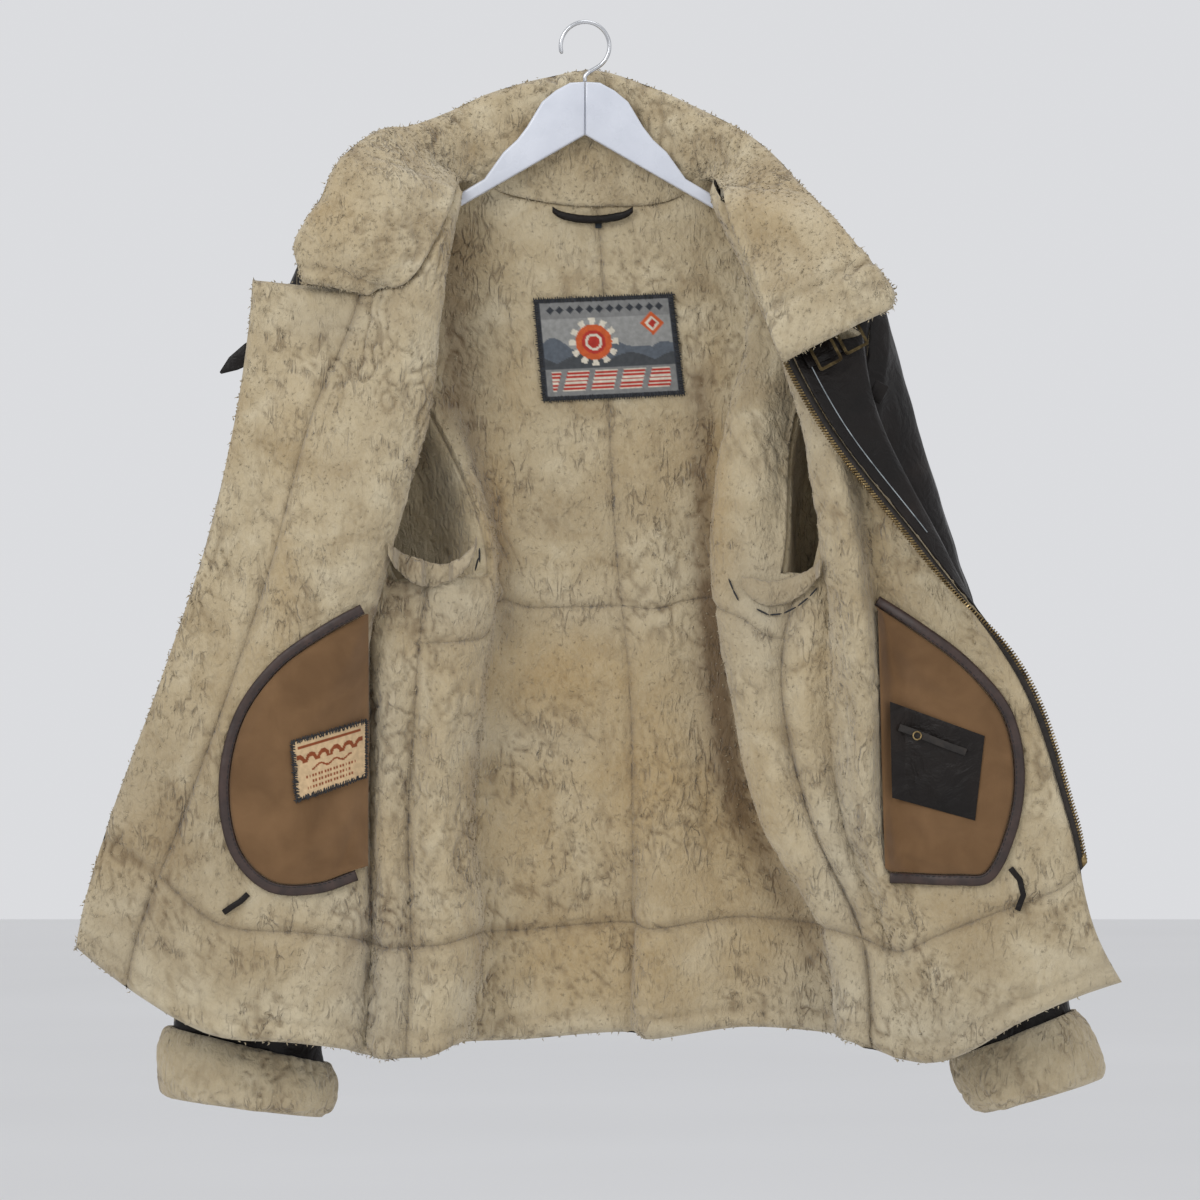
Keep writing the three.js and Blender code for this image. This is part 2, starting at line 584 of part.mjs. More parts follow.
for (const [side, pocket] of Object.entries(POCKETS)) {
  const curve = new THREE.CatmullRomCurve3(pocket.outline.map(([x, z]) => new THREE.Vector3(x, 0, z)));
  const places = curve.getSpacedPoints(OUTLINE_STEPS);
  const centre = new THREE.Vector3(pocket.hinge[0][0], 0, (pocket.hinge[0][1] + pocket.hinge[1][1]) / 2);
  const inwards = places.map((place, k) => {
    const ahead = places[Math.min(k + 1, OUTLINE_STEPS)].clone().sub(places[Math.max(k - 1, 0)]);
    const normal = new THREE.Vector3(-ahead.z, 0, ahead.x).normalize();
    return normal.dot(centre.clone().sub(place)) < 0 ? normal.negate() : normal;
  });
  const under = overHollows((x, z) => bodyFace(x, z, pocket.from, pocket.to));
  const rings = places.map((place, k) => {
    const spot = (inward, lift) => {
      const point = place.clone().addScaledVector(inwards[k], inward);
      point.y = under(point.x, point.z) - BAG_LIFT - lift;
      return point;
    };
    return [spot(0, 0), spot(0, BINDING_THICKNESS * 0.6), spot(2, BINDING_THICKNESS),
      spot(BINDING_WIDTH - 2, BINDING_THICKNESS), spot(BINDING_WIDTH, BINDING_THICKNESS * 0.6), spot(BINDING_WIDTH, 0)];
  });
  sweep(`pocket_binding_${side}`, rings, BINDING);

  // The bag's places run from its straight side to the binding's inner edge, and it is fullest
  // in the middle
  const hinge = pocket.hinge.map(([x, z]) => new THREE.Vector3(x, 0, z));
  const grid = [];
  const fullness = [];
  for (let n = 0; n <= BAG_ROWS; n += 1) {
    const part = n / BAG_ROWS;
    grid.push(places.map((place, k) => {
      const rim = place.clone().addScaledVector(inwards[k], BINDING_WIDTH + 0.5);
      const spot = hinge[0].clone().lerp(hinge[1], k / OUTLINE_STEPS).lerp(rim, part);
      return [spot.x, spot.z];
    }));
    fullness.push(places.map((_, k) => Math.sin(Math.PI * part) * Math.sin((Math.PI * k) / OUTLINE_STEPS)));
  }
  const lattice = grid.map((row, n) => row.map(([x, z], k) => (
    new THREE.Vector3(x, under(x, z) - BAG_LIFT - BAG_WALL / 2 - BAG_PUFF * fullness[n][k], z))));
  const normals = lattice.map((row) => row.map(() => new THREE.Vector3(0, -1, 0)));
  wallOf(`pocket_bag_${side}`, lattice, normals, BAG_WALL, () => true, COTTON);
  bags[side] = { lattice, normals, wall: BAG_WALL };
}

// A flat strip that follows places [x, z] over a face. widths gives its width at each place.
function stripOn(name, places, widths, depthAt, lift, thickness, finish, side = 1) {
  const rings = places.map(([x, z], k) => {
    const before = places[Math.max(k - 1, 0)];
    const after = places[Math.min(k + 1, places.length - 1)];
    const ahead = new THREE.Vector2(after[0] - before[0], after[1] - before[1]).normalize();
    const edge = (way, depth) => {
      const edgeX = x - ahead.y * way * (widths[k] / 2);
      const edgeZ = z + ahead.x * way * (widths[k] / 2);
      return new THREE.Vector3(edgeX, depthAt(edgeX, edgeZ) - side * (lift + depth), edgeZ);
    };
    return [edge(-1, 0), edge(1, 0), edge(1, thickness), edge(-1, thickness)];
  });
  return sweep(name, rings, finish);
}

const label = quadGrid([[-248, -612], [-185, -594], [-185, -642], [-244, -663]], 6, 4);
layOn('maker_label', label, overHollows((x, z) => faceOf(bags.left, x, z)), 0.4, 1,
  LABEL_CLOTH);

const cornerPiece = quadGrid([[258, -578], [338, -607], [330, -679], [260, -660]], 6, 5);
const cornerSkin = layOn('pocket_corner_right', cornerPiece, overHollows((x, z) => faceOf(bags.right, x, z)), 0.5,
  1.5, LEATHER);
stripOn('pocket_zip_right', [[266, -600], [280, -605], [294, -610.5], [308, -616], [322, -621]],
  Array(5).fill(6),
  overHollows((x, z) => faceOf(cornerSkin, x, z)), 0.6, 1.6, TAPE);

// Ties at the foot of each pocket bag
const flapFace = overHollows((x, z) => bodyFace(x, z, 'flap_edge', 'roll_left'));
stripOn('pocket_tie_left', [[-285, -741], [-291, -747], [-299, -752], [-306, -757]], [5, 5, 5, 5],
  flapFace, 0.6, 2, LEATHER);
const turnedFace = overHollows((x, z) => bodyFace(x, z, 'pocket_right', 'turned_edge'));
stripOn('pocket_tie_right', [[360, -719], [368, -729], [371, -742], [366, -755]], [5, 5, 5, 5],
  turnedFace, 0.5, 2, LEATHER);

// Patch, loop and size tab inside the back of the neck
const backFace = overHollows((x, z) => bodyFace(x, z, 'root_left', 'root_right'));
layOn('back_patch', quadGrid([[-44, -235], [75, -230], [85, -316], [-36, -322]], 12, 8), backFace, 0.8, 1.5,
  PATCH_CLOTH);
layOn('size_tab', quadGrid([[8.5, -163], [14.5, -163], [14.5, -174], [8.5, -174]], 1, 2), backFace, 0.5, 1,
  LABEL_CLOTH);
const LOOP_RADIUS = 3.5;
const LOOP_SIDES = 10;
const LOOP_LIFT = 2.4;
const loopRings = [[-28, -158], [-22, -162], [-8, -165.5], [6, -166.5], [20, -165.5], [35, -162], [41, -158]]
  .map(([x, z]) => Array.from({ length: LOOP_SIDES }, (_, i) => {
    const angle = (2 * Math.PI * i) / LOOP_SIDES;
    const depth = backFace(x, -172) - LOOP_LIFT - LOOP_RADIUS;
    return new THREE.Vector3(x, depth + LOOP_RADIUS * Math.sin(angle), z + LOOP_RADIUS * Math.cos(angle));
  }));
sweep('hang_loop', loopRings, LEATHER);

// A strip along one line of the body's sheet, between two rows. Its section is measured from the
// sheet's middle: out across the line's own way and up off the sheet towards the fleece's side.
function stripAlong(name, line, fromRow, toRow, way, section, finish) {
  const rings = [];
  for (let row = fromRow; row <= toRow; row += 1) {
    const column = columnOf[line];
    const point = sheet[row][column];
    const normal = sheetNormals[row][column];
    const outwards = sheet[row][column + way].clone().sub(point);
    outwards.addScaledVector(normal, -outwards.dot(normal)).normalize();
    rings.push(section.map(([out, up]) => (
      point.clone().addScaledVector(outwards, out).addScaledVector(normal, up))));
  }
  return sweep(name, rings, finish);
}

const lastRow = sheet.length - 1;
const zipEnd = ROWS.indexOf(1);

// Zip tapes: one stands off the right front's free edge, the other is sewn behind the left
// front's seam with its wind flap
stripAlong('zip_tape_right', 'zip_edge', 0, zipEnd, -1,
  [[-0.5, -1], [-8, -1], [-8, 1], [-0.5, 1]], TAPE);
stripAlong('zip_tape_left', 'flap_seam', 1, zipEnd, 1,
  [[-7, -4.5], [7, -4.5], [7, -6.5], [-7, -6.5]], TAPE);

// Welts of the pockets' mouths, on the leather side of the fronts
const leatherLeft = (x, z) => bodyFace(x, z, 'flap_edge', 'roll_left', -1);
const leatherRight = (x, z) => bodyFace(x, z, 'pocket_right', 'turned_edge', -1);
const WELT_WIDTH = 24;
stripOn('outer_welt_left', [[-222, -530], [-236, -570], [-250, -610], [-262, -650]], Array(4).fill(WELT_WIDTH),
  leatherLeft, 1, 2.5, LEATHER, -1);
stripOn('outer_welt_right', [[292, -545], [304, -580], [314, -615], [320, -650]], Array(4).fill(WELT_WIDTH),
  leatherRight, 1, 2.5, LEATHER, -1);

// Straps at the throat. The right one lies under the collar's edge with its buckles, and the
// left one's tip stands out from behind the wind flap.
const throatFace = overHollows((x, z) => bodyFace(x, z, 'roll_right', 'zip_edge'));
stripOn('throat_strap_right', [[186, -290], [192, -287], [198, -284], [204, -281],
  [210, -278], [215, -275.5]], Array(6).fill(15),
  throatFace, 0, 3, LEATHER);
const flapBack = (x, z) => bodyFace(Math.max(x, -274), z, 'flap_edge', 'front_left', -1);
stripOn('throat_strap_left', [[-240, -256], [-262, -269], [-284, -283], [-298, -292], [-309, -300]],
  [19, 19, 18, 13, 2], flapBack, 1.5, 3, LEATHER, -1);
stripOn('throat_tab_right', [[243, -313], [248, -316], [254, -319]], [17, 17, 17], () => -58.4, 0, 3, LEATHER, -1);

// A rectangular wire frame with round corners, flat on a face
const BUCKLE = { length: 22, width: 24, wire: 2.6, corner: 3 };
function roundedBox(length, width, radius) {
  const shape = new THREE.Shape();
  const [a, b] = [length / 2, width / 2];
  shape.moveTo(radius - a, -b);
  shape.lineTo(a - radius, -b);
  shape.quadraticCurveTo(a, -b, a, radius - b);
  shape.lineTo(a, b - radius);
  shape.quadraticCurveTo(a, b, a - radius, b);
  shape.lineTo(radius - a, b);
  shape.quadraticCurveTo(-a, b, -a, b - radius);
  shape.lineTo(-a, radius - b);
  shape.quadraticCurveTo(-a, -b, radius - a, -b);
  return shape;
}
const buckleShape = roundedBox(BUCKLE.length, BUCKLE.width, BUCKLE.corner);
buckleShape.holes.push(roundedBox(BUCKLE.length - 2 * BUCKLE.wire, BUCKLE.width - 2 * BUCKLE.wire, 1));
// name, x, z, turn in degrees, how far it stands off the front
const BUCKLES = [
  ['buckle_lower', 203, -284, 28, 2.8],
  ['buckle_upper', 225.2, -270.3, 28, 1.6],
];
for (const [name, x, z, turn, rise] of BUCKLES) {
  const frame = new THREE.ExtrudeGeometry(buckleShape, { depth: BUCKLE.wire, bevelEnabled: false, curveSegments: 4 });
  frame.rotateZ(THREE.MathUtils.degToRad(turn));
  frame.rotateX(Math.PI / 2);
  const reach = BUCKLE.length / 2;
  const depths = [[reach, reach], [-reach, reach], [reach, -reach], [-reach, -reach]]
    .map(([dx, dz]) => throatFace(x + dx, z + dz));
  frame.translate(x, Math.min(...depths.filter(Number.isFinite)) - rise, z);
  addGeometry(name, frame, BRASS);
}

// Hanger: two flat arms of painted wood that meet in the middle, each with a hump at the neck.
// The outline of one arm runs [x, z] along the top, round the tip and back along its lower edge.
const ARM_OUTLINE = [
  [0.2, -49.6], [12.8, -50.4], [25, -57], [36.8, -66.7], [43, -77], [49.6, -88], [58, -99], [70, -110], [86, -132.5],
  [150, -171], [203, -202], [208, -207], [203, -211.5], [108.5, -157], [0.2, -95],
];
const WOOD_EDGE = 2;
for (const [name, way] of [['hanger_left', -1], ['hanger_right', 1]]) {
  const outline = new THREE.Shape(ARM_OUTLINE.map(([x, z]) => new THREE.Vector2(way * x, z)));
  const arm = new THREE.ExtrudeGeometry(outline, {
    depth: WOOD_THICKNESS - 2 * WOOD_EDGE,
    bevelThickness: WOOD_EDGE,
    bevelSize: WOOD_EDGE,
    bevelOffset: -WOOD_EDGE,
    bevelSegments: 3,
  });
  arm.rotateX(Math.PI / 2);
  arm.translate(0, WOOD_THICKNESS / 2 - WOOD_EDGE, 0);
  addGeometry(name, arm, PAINTED_WOOD);
}

// Hook: a round steel wire that stands on the hump, bends back and goes round the rail
const HOOK_SIDES = 8;
const hookPath = [[0, -49.1], [0, -45], [3, -41.5]];
const HOOK_CENTRE = [0, -HOOK_RADIUS];
const HOOK_LINE = HOOK_RADIUS + HOOK_WIRE / 2;
for (let angle = -62; angle <= 200; angle += 9) {
  const turn = THREE.MathUtils.degToRad(angle);
  hookPath.push([HOOK_CENTRE[0] + HOOK_LINE * Math.cos(turn), HOOK_CENTRE[1] + HOOK_LINE * Math.sin(turn)]);
}
sweep('hook', hookPath.map(([x, z], k) => {
  const before = hookPath[Math.max(k - 1, 0)];
  const after = hookPath[Math.min(k + 1, hookPath.length - 1)];
  const ahead = new THREE.Vector2(after[0] - before[0], after[1] - before[1]).normalize();
  return Array.from({ length: HOOK_SIDES }, (_, i) => {
    const angle = (2 * Math.PI * i) / HOOK_SIDES;
    const out = (HOOK_WIRE / 2) * Math.cos(angle);
    return new THREE.Vector3(x - ahead.y * out, (HOOK_WIRE / 2) * Math.sin(angle), z + ahead.x * out);
  });
}), STEEL);

export default jacket;
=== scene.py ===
# %% [markdown]
# # A shearling jacket on a wooden hanger
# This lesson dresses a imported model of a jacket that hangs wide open, its fleece side to the
# viewer. A shearling hide is wool on one side and leather on the other, so every panel is one
# wall with two finishes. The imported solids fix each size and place. Here each wall is made again
# from the same sizes, on a much finer net, so that its wool can have curls and its leather
# creases.

# %% Load the frame
import math
import random

import bmesh
import bpy
import numpy as np
from mathutils import Matrix, Vector, noise
from mathutils.bvhtree import BVHTree


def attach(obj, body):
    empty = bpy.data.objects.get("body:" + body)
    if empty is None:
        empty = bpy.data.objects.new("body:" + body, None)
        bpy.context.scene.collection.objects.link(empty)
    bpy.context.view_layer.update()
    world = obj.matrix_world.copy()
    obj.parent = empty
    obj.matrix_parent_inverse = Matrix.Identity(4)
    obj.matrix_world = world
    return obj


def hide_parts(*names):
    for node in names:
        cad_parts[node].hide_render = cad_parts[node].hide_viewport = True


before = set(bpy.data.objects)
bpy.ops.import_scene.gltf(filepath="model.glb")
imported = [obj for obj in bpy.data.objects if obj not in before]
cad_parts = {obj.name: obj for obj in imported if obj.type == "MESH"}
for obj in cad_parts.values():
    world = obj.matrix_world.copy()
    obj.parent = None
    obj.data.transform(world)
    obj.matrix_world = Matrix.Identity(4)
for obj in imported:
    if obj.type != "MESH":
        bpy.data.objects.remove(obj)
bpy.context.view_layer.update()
random.seed(7)
noise.seed_set(7)
MM = 0.001

# %% [markdown]
# ## The camera
# The jacket was seen from straight in front and from far away, so lines that run back hardly
# shrink. A long lens from seven metres gives that. The frame's width at the jacket comes from
# its scale: 1.17 picture points to the millimetre over 1200 points.

# %% Place the camera
PIXELS_PER_MM = 1.17
PICTURE = 1200
CAMERA_DISTANCE = 7.0
view_centre = Vector((12.8 * MM, 0.0, -492.3 * MM))
camera_data = bpy.data.cameras.new("camera")
camera_data.sensor_width = 36.0
camera_data.lens = 36.0 * CAMERA_DISTANCE / (PICTURE / PIXELS_PER_MM * MM)
camera_data.clip_end = 60.0
camera = bpy.data.objects.new("camera", camera_data)
bpy.context.collection.objects.link(camera)
camera.location = view_centre + Vector((0.0, -CAMERA_DISTANCE, 0.0))
camera.rotation_euler = (math.pi / 2, 0.0, 0.0)
bpy.context.scene.camera = camera
print("lens", round(camera_data.lens, 1))

# %% [markdown]
# ## A wall from two nets
# A net is a table of points, rows down the cloth and columns across it. Two nets, one for each
# side of the hide, make a closed wall once their free edges are joined by a strip. Building the
# mesh from whole tables at once is far quicker than adding faces one by one.

# %% Make a wall
def grid_wall(name, front, back, cells=None, closed=False, rim_slot=0, uv=None):
    """A closed wall between two nets of points in millimetres, and which points it kept.
    Front faces take the first finish and back faces the second."""
    rows, cols = front.shape[:2]
    wide = cols if closed else cols - 1
    if cells is None:
        cells = np.ones((rows - 1, wide), bool)
    index = np.arange(rows * cols).reshape(rows, cols)
    right = np.roll(index, -1, axis=1)
    a, b = index[:-1, :wide][cells], index[1:, :wide][cells]
    c, d = right[1:, :wide][cells], right[:-1, :wide][cells]
    faces = np.stack([a, b, c, d], axis=1)
    edges = np.concatenate([faces[:, [0, 1]], faces[:, [1, 2]], faces[:, [2, 3]], faces[:, [3, 0]]])
    total = rows * cols
    lone = ~np.isin(edges[:, 0] * total + edges[:, 1], edges[:, 1] * total + edges[:, 0])
    p, q = edges[lone, 0], edges[lone, 1]
    rim = np.stack([q, p, p + total, q + total], axis=1)
    quads = np.concatenate([faces, faces[:, ::-1] + total, rim])
    slots = np.concatenate([np.zeros(len(faces)), np.ones(len(faces)), np.full(len(rim), rim_slot)])
    points = np.concatenate([front.reshape(-1, 3), back.reshape(-1, 3)])
    used, compact = np.unique(quads, return_inverse=True)
    mesh = bpy.data.meshes.new(name)
    mesh.vertices.add(len(used))
    mesh.vertices.foreach_set("co", (points[used] * MM).ravel())
    mesh.loops.add(quads.size)
    mesh.loops.foreach_set("vertex_index", compact.ravel().astype(int))
    mesh.polygons.add(len(quads))
    mesh.polygons.foreach_set("loop_start", np.arange(0, quads.size, 4))
    mesh.polygons.foreach_set("loop_total", np.full(len(quads), 4))
    mesh.polygons.foreach_set("material_index", slots.astype(int))
    mesh.polygons.foreach_set("use_smooth", np.ones(len(quads), bool))
    mesh.update(calc_edges=True)
    if uv is not None:
        both = np.concatenate([uv.reshape(-1, 2), uv.reshape(-1, 2)])
        layer = mesh.uv_layers.new(name="cloth")
        layer.data.foreach_set("uv", (both[quads.ravel()] * MM).ravel())
    obj = bpy.data.objects.new(name, mesh)
    bpy.context.collection.objects.link(obj)
    return obj, used


def net_normals(net, closed=False):
    """Unit normals of a net, towards the viewer where it lies flat."""
    if closed:
        across = np.roll(net, -1, axis=1) - np.roll(net, 1, axis=1)
    else:
        across = np.gradient(net, axis=1)
    down = np.gradient(net, axis=0)
    normal = np.cross(down, across)
    length = np.linalg.norm(normal, axis=2, keepdims=True)
    return normal / np.maximum(length, 1e-9)


def run_lengths(net, axis):
    """Distance along each line of a net from its start, in millimetres."""
    steps = np.linalg.norm(np.diff(net, axis=axis), axis=2)
    lengths = np.cumsum(steps, axis=axis)
    pad = [(0, 0), (0, 0)]
    pad[axis] = (1, 0)
    return np.pad(lengths, pad)


def color_points(piece, name, colors):
    """A colour on every point of a piece, or one colour for them all."""
    rgba = np.ones((len(piece.data.vertices), 4))
    rgba[:, :3] = colors
    piece.data.color_attributes.new(name, "FLOAT_COLOR", "POINT").data.foreach_set("color", rgba.ravel())


def paint(piece, name, values, used):
    """A colour on every point of a wall: values for its front net, and nothing for the other."""
    front = values.reshape(-1, 3)
    color_points(piece, name, np.concatenate([front, np.zeros_like(front)])[used])

# %% [markdown]
# ## Solids from rings
# What isn't a wall is a closed solid through rings of points: a cuff, a binding, a hook. Two
# measures come back again and again: the distance along a line of points, and a smooth curve
# between two points that also looks at the points before and after them.

# %% Solids and curves
def solid(name, points, faces, smooth=True):
    """A closed solid from points in millimetres, with its faces turned outward."""
    mesh = bpy.data.meshes.new(name)
    mesh.from_pydata((np.asarray(points) * MM).tolist(), [], faces)
    piece = bpy.data.objects.new(name, mesh)
    bpy.context.collection.objects.link(piece)
    shape = bmesh.new()
    shape.from_mesh(mesh)
    bmesh.ops.recalc_face_normals(shape, faces=shape.faces)
    if shape.calc_volume(signed=True) < 0:
        bmesh.ops.reverse_faces(shape, faces=shape.faces)
    shape.to_mesh(mesh)
    shape.free()
    mesh.polygons.foreach_set("use_smooth", np.full(len(mesh.polygons), smooth))
    return piece


def swept(name, rings, closed=False):
    """A solid through rings of points: joined on itself, or capped at both ends."""
    rings = np.asarray(rings, float)
    index = np.arange(rings.shape[0] * rings.shape[1]).reshape(rings.shape[:2])
    here, there = (index, np.roll(index, -1, axis=0)) if closed else (index[:-1], index[1:])
    quads = np.stack([here, np.roll(here, -1, axis=1), np.roll(there, -1, axis=1), there], axis=-1)
    caps = [] if closed else [index[0][::-1].tolist(), index[-1].tolist()]
    return solid(name, rings.reshape(-1, 3), quads.reshape(-1, 4).tolist() + caps)


def lengths_along(points):
    """Distance of each point from the first, along the line through them all."""
    return np.concatenate([[0], np.cumsum(np.linalg.norm(np.diff(points, axis=0), axis=1))])


def curve_between(before, start, end, after, t):
    """A smooth curve from start to end, at part t of the way."""
    return 0.5 * (2 * start + (end - before) * t + (2 * before - 5 * start + 4 * end - after) * t * t
                  + (3 * start - 3 * end + after - before) * t ** 3)


def circle(count):
    """Angles at even steps round a circle."""
    return np.linspace(0, 2 * math.pi, count, endpoint=False)

# %% [markdown]
# ## Wool
# Shearling wool is a dense mat of curled locks. From a step away it shows as soft mounds with
# narrow, wandering clefts between them. Noise gives both: a slow noise for the mounds, and the
# thin lines where a faster, bent noise crosses zero for the clefts. That noise is drawn out
# down the coat, as wool hangs, and fades in patches. The same number that lowers the surface is
# kept as a colour, to paint shade down in each cleft.

# %% Wool relief
BEND_SIZE, BEND_REACH, CLEFT_WIDTH, PATCH_SIZE, MOUND_SIZE, TUFT_SIZE = 21.0, 7.0, 0.085, 60.0, 34.0, 6.0


def wool(points, mound=1.3, curl=1.6, size=11.0):
    """Height in millimetres and cleft depth, 0 to 1, at points in millimetres."""
    heights = np.empty(len(points))
    clefts = np.empty(len(points))
    for k, (x, y, z) in enumerate(points):
        p = Vector((x, y, z))
        bent = p + noise.noise_vector(p / BEND_SIZE) * BEND_REACH
        curly = noise.noise(Vector((bent.x, bent.y, bent.z * 0.5)) / size)
        cleft = math.exp(-(curly / CLEFT_WIDTH) ** 2)
        patchy = 0.42 + 1.5 * noise.noise(p / PATCH_SIZE + Vector((9.0, 2.0, 5.0)))
        cleft *= min(max(patchy, 0.06), 1.0)
        slow = noise.noise(p / MOUND_SIZE)
        tuft = noise.noise(p / TUFT_SIZE)
        heights[k] = mound * slow + 0.5 * tuft - curl * cleft + 0.35 * curl * abs(curly)
        clefts[k] = cleft
    return heights, clefts


def soft_step(low, high, value):
    t = np.clip((value - low) / (high - low), 0.0, 1.0)
    return t * t * (3.0 - 2.0 * t)

# %% [markdown]
# ## Finishes
# Each finish is a small graph of nodes. Helpers keep the graphs short: one adds a node, one adds
# noise at a scale in metres, and one turns a grey value into a range of colours. Everything
# reads Object coordinates or a piece's own attribute, so a pattern stays on the piece.

# %% Helpers for finishes
class Finish:
    def __init__(self, name, roughness, metallic=0.0, **sockets):
        self.material = bpy.data.materials.new(name)
        self.material.use_nodes = True
        self.tree = self.material.node_tree
        self.shader = self.tree.nodes["Principled BSDF"]
        self.shader.inputs["Roughness"].default_value = roughness
        self.shader.inputs["Metallic"].default_value = metallic
        for socket, value in sockets.items():
            self.shader.inputs[socket.replace("_", " ")].default_value = value
        self.place = self.add("ShaderNodeTexCoord").outputs["Object"]

    def add(self, kind, inputs=(), **settings):
        node = self.tree.nodes.new(kind)
        for name, value in settings.items():
            setattr(node, name, value)
        for name, value in dict(inputs).items():
            if isinstance(value, bpy.types.NodeSocket):
                self.tree.links.new(value, node.inputs[name])
            else:
                node.inputs[name].default_value = value
        return node

    def noise(self, size, detail=3.0, bend=0.0, stretch=None, roughness=0.5):
        place = self.place
        if stretch:
            place = self.add("ShaderNodeMapping", {"Vector": place, "Scale": stretch}).outputs[0]
        return self.add("ShaderNodeTexNoise", {
            "Vector": place, "Scale": 1 / size, "Detail": detail, "Distortion": bend,
            "Roughness": roughness}).outputs["Fac"]

    def math(self, operation, first, second=0.5):
        return self.add("ShaderNodeMath", {0: first, 1: second}, operation=operation).outputs[0]

    def ramp(self, value, *stops):
        node = self.add("ShaderNodeValToRGB", {"Fac": value})
        elements = node.color_ramp.elements
        for k, (at, color) in enumerate(stops):
            element = elements[k] if k < 2 else elements.new(at)
            element.position = at
            element.color = (*color, 1.0)
        return node.outputs["Color"]

    def mix(self, amount, first, second, blend="MIX"):
        node = self.add("ShaderNodeMix", data_type="RGBA", blend_type=blend)
        for socket, value in ((0, amount), (6, first), (7, second)):
            if isinstance(value, bpy.types.NodeSocket):
                self.tree.links.new(value, node.inputs[socket])
            else:
                node.inputs[socket].default_value = (*value, 1.0) if isinstance(value, tuple) else value
        return node.outputs[2]

    def bump(self, *heights):
        normal = None
        for height, strength, depth in heights:
            node = self.add("ShaderNodeBump", {"Height": height, "Strength": strength, "Distance": depth})
            if normal:
                self.tree.links.new(normal, node.inputs["Normal"])
            normal = node.outputs["Normal"]
        self.tree.links.new(normal, self.shader.inputs["Normal"])

    def color(self, value):
        if isinstance(value, tuple):
            self.shader.inputs["Base Color"].default_value = (*value, 1.0)
        else:
            self.tree.links.new(value, self.shader.inputs["Base Color"])

    def rough(self, value):
        self.tree.links.new(value, self.shader.inputs["Roughness"])


def two_tone(name, roughness, size, detail, low, high, ends=(0.3, 0.7), metallic=0.0, **sockets):
    """A finish whose colour wanders between two colours."""
    finish = Finish(name, roughness, metallic, **sockets)
    finish.color(finish.ramp(finish.noise(size, detail), (ends[0], low), (ends[1], high)))
    return finish

# %% [markdown]
# Every finished piece gets its finishes, rides on the root body, and hides the imported solids
# that it stands for.

# %% Finish a piece
LEAST_SIDE = 0.01
HANGER = ["hanger_left", "hanger_right"]


def joined(piece, slot, finishes, nodes=(), flat=None, held="laid", on=()):
    """Dress a piece and join it to the frame. flat is its flat width and length in metres,
    and its area where that isn't their product. It is not used."""
    for finish in finishes if isinstance(finishes, tuple) else (finishes,):
        piece.data.materials.append(finish.material)
    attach(piece, "root")
    if nodes:
        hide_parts(*nodes)
    if flat:
        sides = [max(side, LEAST_SIDE) for side in flat[:2]]
        list(on)
    return piece

# %% [markdown]
# The fleece is cream, with tan and grey where the painted stains say so; a few streaks of the tan
# are painted shade beside the folds. Thin clefts come from lines where a bent noise crosses the
# middle of its range: they are a bump, and a painted shade that darkens the colour. The stain's
# blue channel is painted shade too. A little sheen softens its edges, as fine fibres do.

# %% Fleece
fleece = Finish("fleece", 0.95, Sheen_Weight=0.22, Sheen_Roughness=0.6, Specular_IOR_Level=0.15)
stains_and_shade = fleece.add("ShaderNodeAttribute", attribute_name="stain_and_shade").outputs["Color"]
split = fleece.add("ShaderNodeSeparateColor", {"Color": stains_and_shade})
# red and green are golden and grey stains, the red with a few streaks of painted shade; blue is painted shade
gold_and_shade, grey, painted_shade = split.outputs[0], split.outputs[1], split.outputs[2]
mottle = fleece.noise(0.045, detail=4, bend=0.6)
pale = fleece.ramp(
    mottle, (0.30, (0.310, 0.232, 0.125)), (0.52, (0.430, 0.350, 0.216)), (0.75, (0.56, 0.485, 0.335)))
warm_amount = fleece.math("MULTIPLY", gold_and_shade, fleece.math("ADD", fleece.noise(0.03, 5, 0.8), 0.55))
warm = fleece.mix(warm_amount, pale, (0.33, 0.217, 0.082))
cool = fleece.mix(fleece.math("MULTIPLY", grey, 0.9), warm, (0.41, 0.372, 0.285))
curl = fleece.noise(0.0080, detail=2.0, bend=0.6, stretch=(1.0, 1.0, 0.32))
away_from_middle = fleece.math("ABSOLUTE", fleece.math("SUBTRACT", curl, 0.5))
thin = fleece.math("SUBTRACT", 1.0, fleece.math("MULTIPLY", away_from_middle, 13.0))
patchy = fleece.ramp(fleece.noise(0.060, 2, 0.4), (0.44, (0.03, 0.03, 0.03)), (0.62, (1.0, 1.0, 1.0)))
broken = fleece.ramp(fleece.noise(0.014, 1, 0.0), (0.40, (0.0, 0.0, 0.0)), (0.60, (1.0, 1.0, 1.0)))
cleft = fleece.math("MULTIPLY", fleece.math("MULTIPLY", fleece.math("MAXIMUM", thin, 0.0), patchy), broken)
# painted shade: the clefts and the blue channel darken the colour towards dark brown
painted_shade_amount = fleece.math("MINIMUM", fleece.math(
    "ADD", fleece.math("MULTIPLY", cleft, 0.42), fleece.math("MULTIPLY", painted_shade, 0.85)), 0.86)
tuft = fleece.noise(0.0026, 3, 0.5, stretch=(1.0, 1.0, 0.6))
lock = fleece.noise(0.009, 3, 0.8, stretch=(1.0, 1.0, 0.7))
fibre = fleece.mix(fleece.math("MULTIPLY", tuft, 0.35), cool, (0.60, 0.53, 0.40))
fleece.color(fleece.mix(painted_shade_amount, fibre, (0.105, 0.060, 0.025)))
fleece.bump((tuft, 0.6, 0.002), (lock, 0.7, 0.005), (fleece.math("SUBTRACT", 1.0, cleft), 0.6, 0.003))
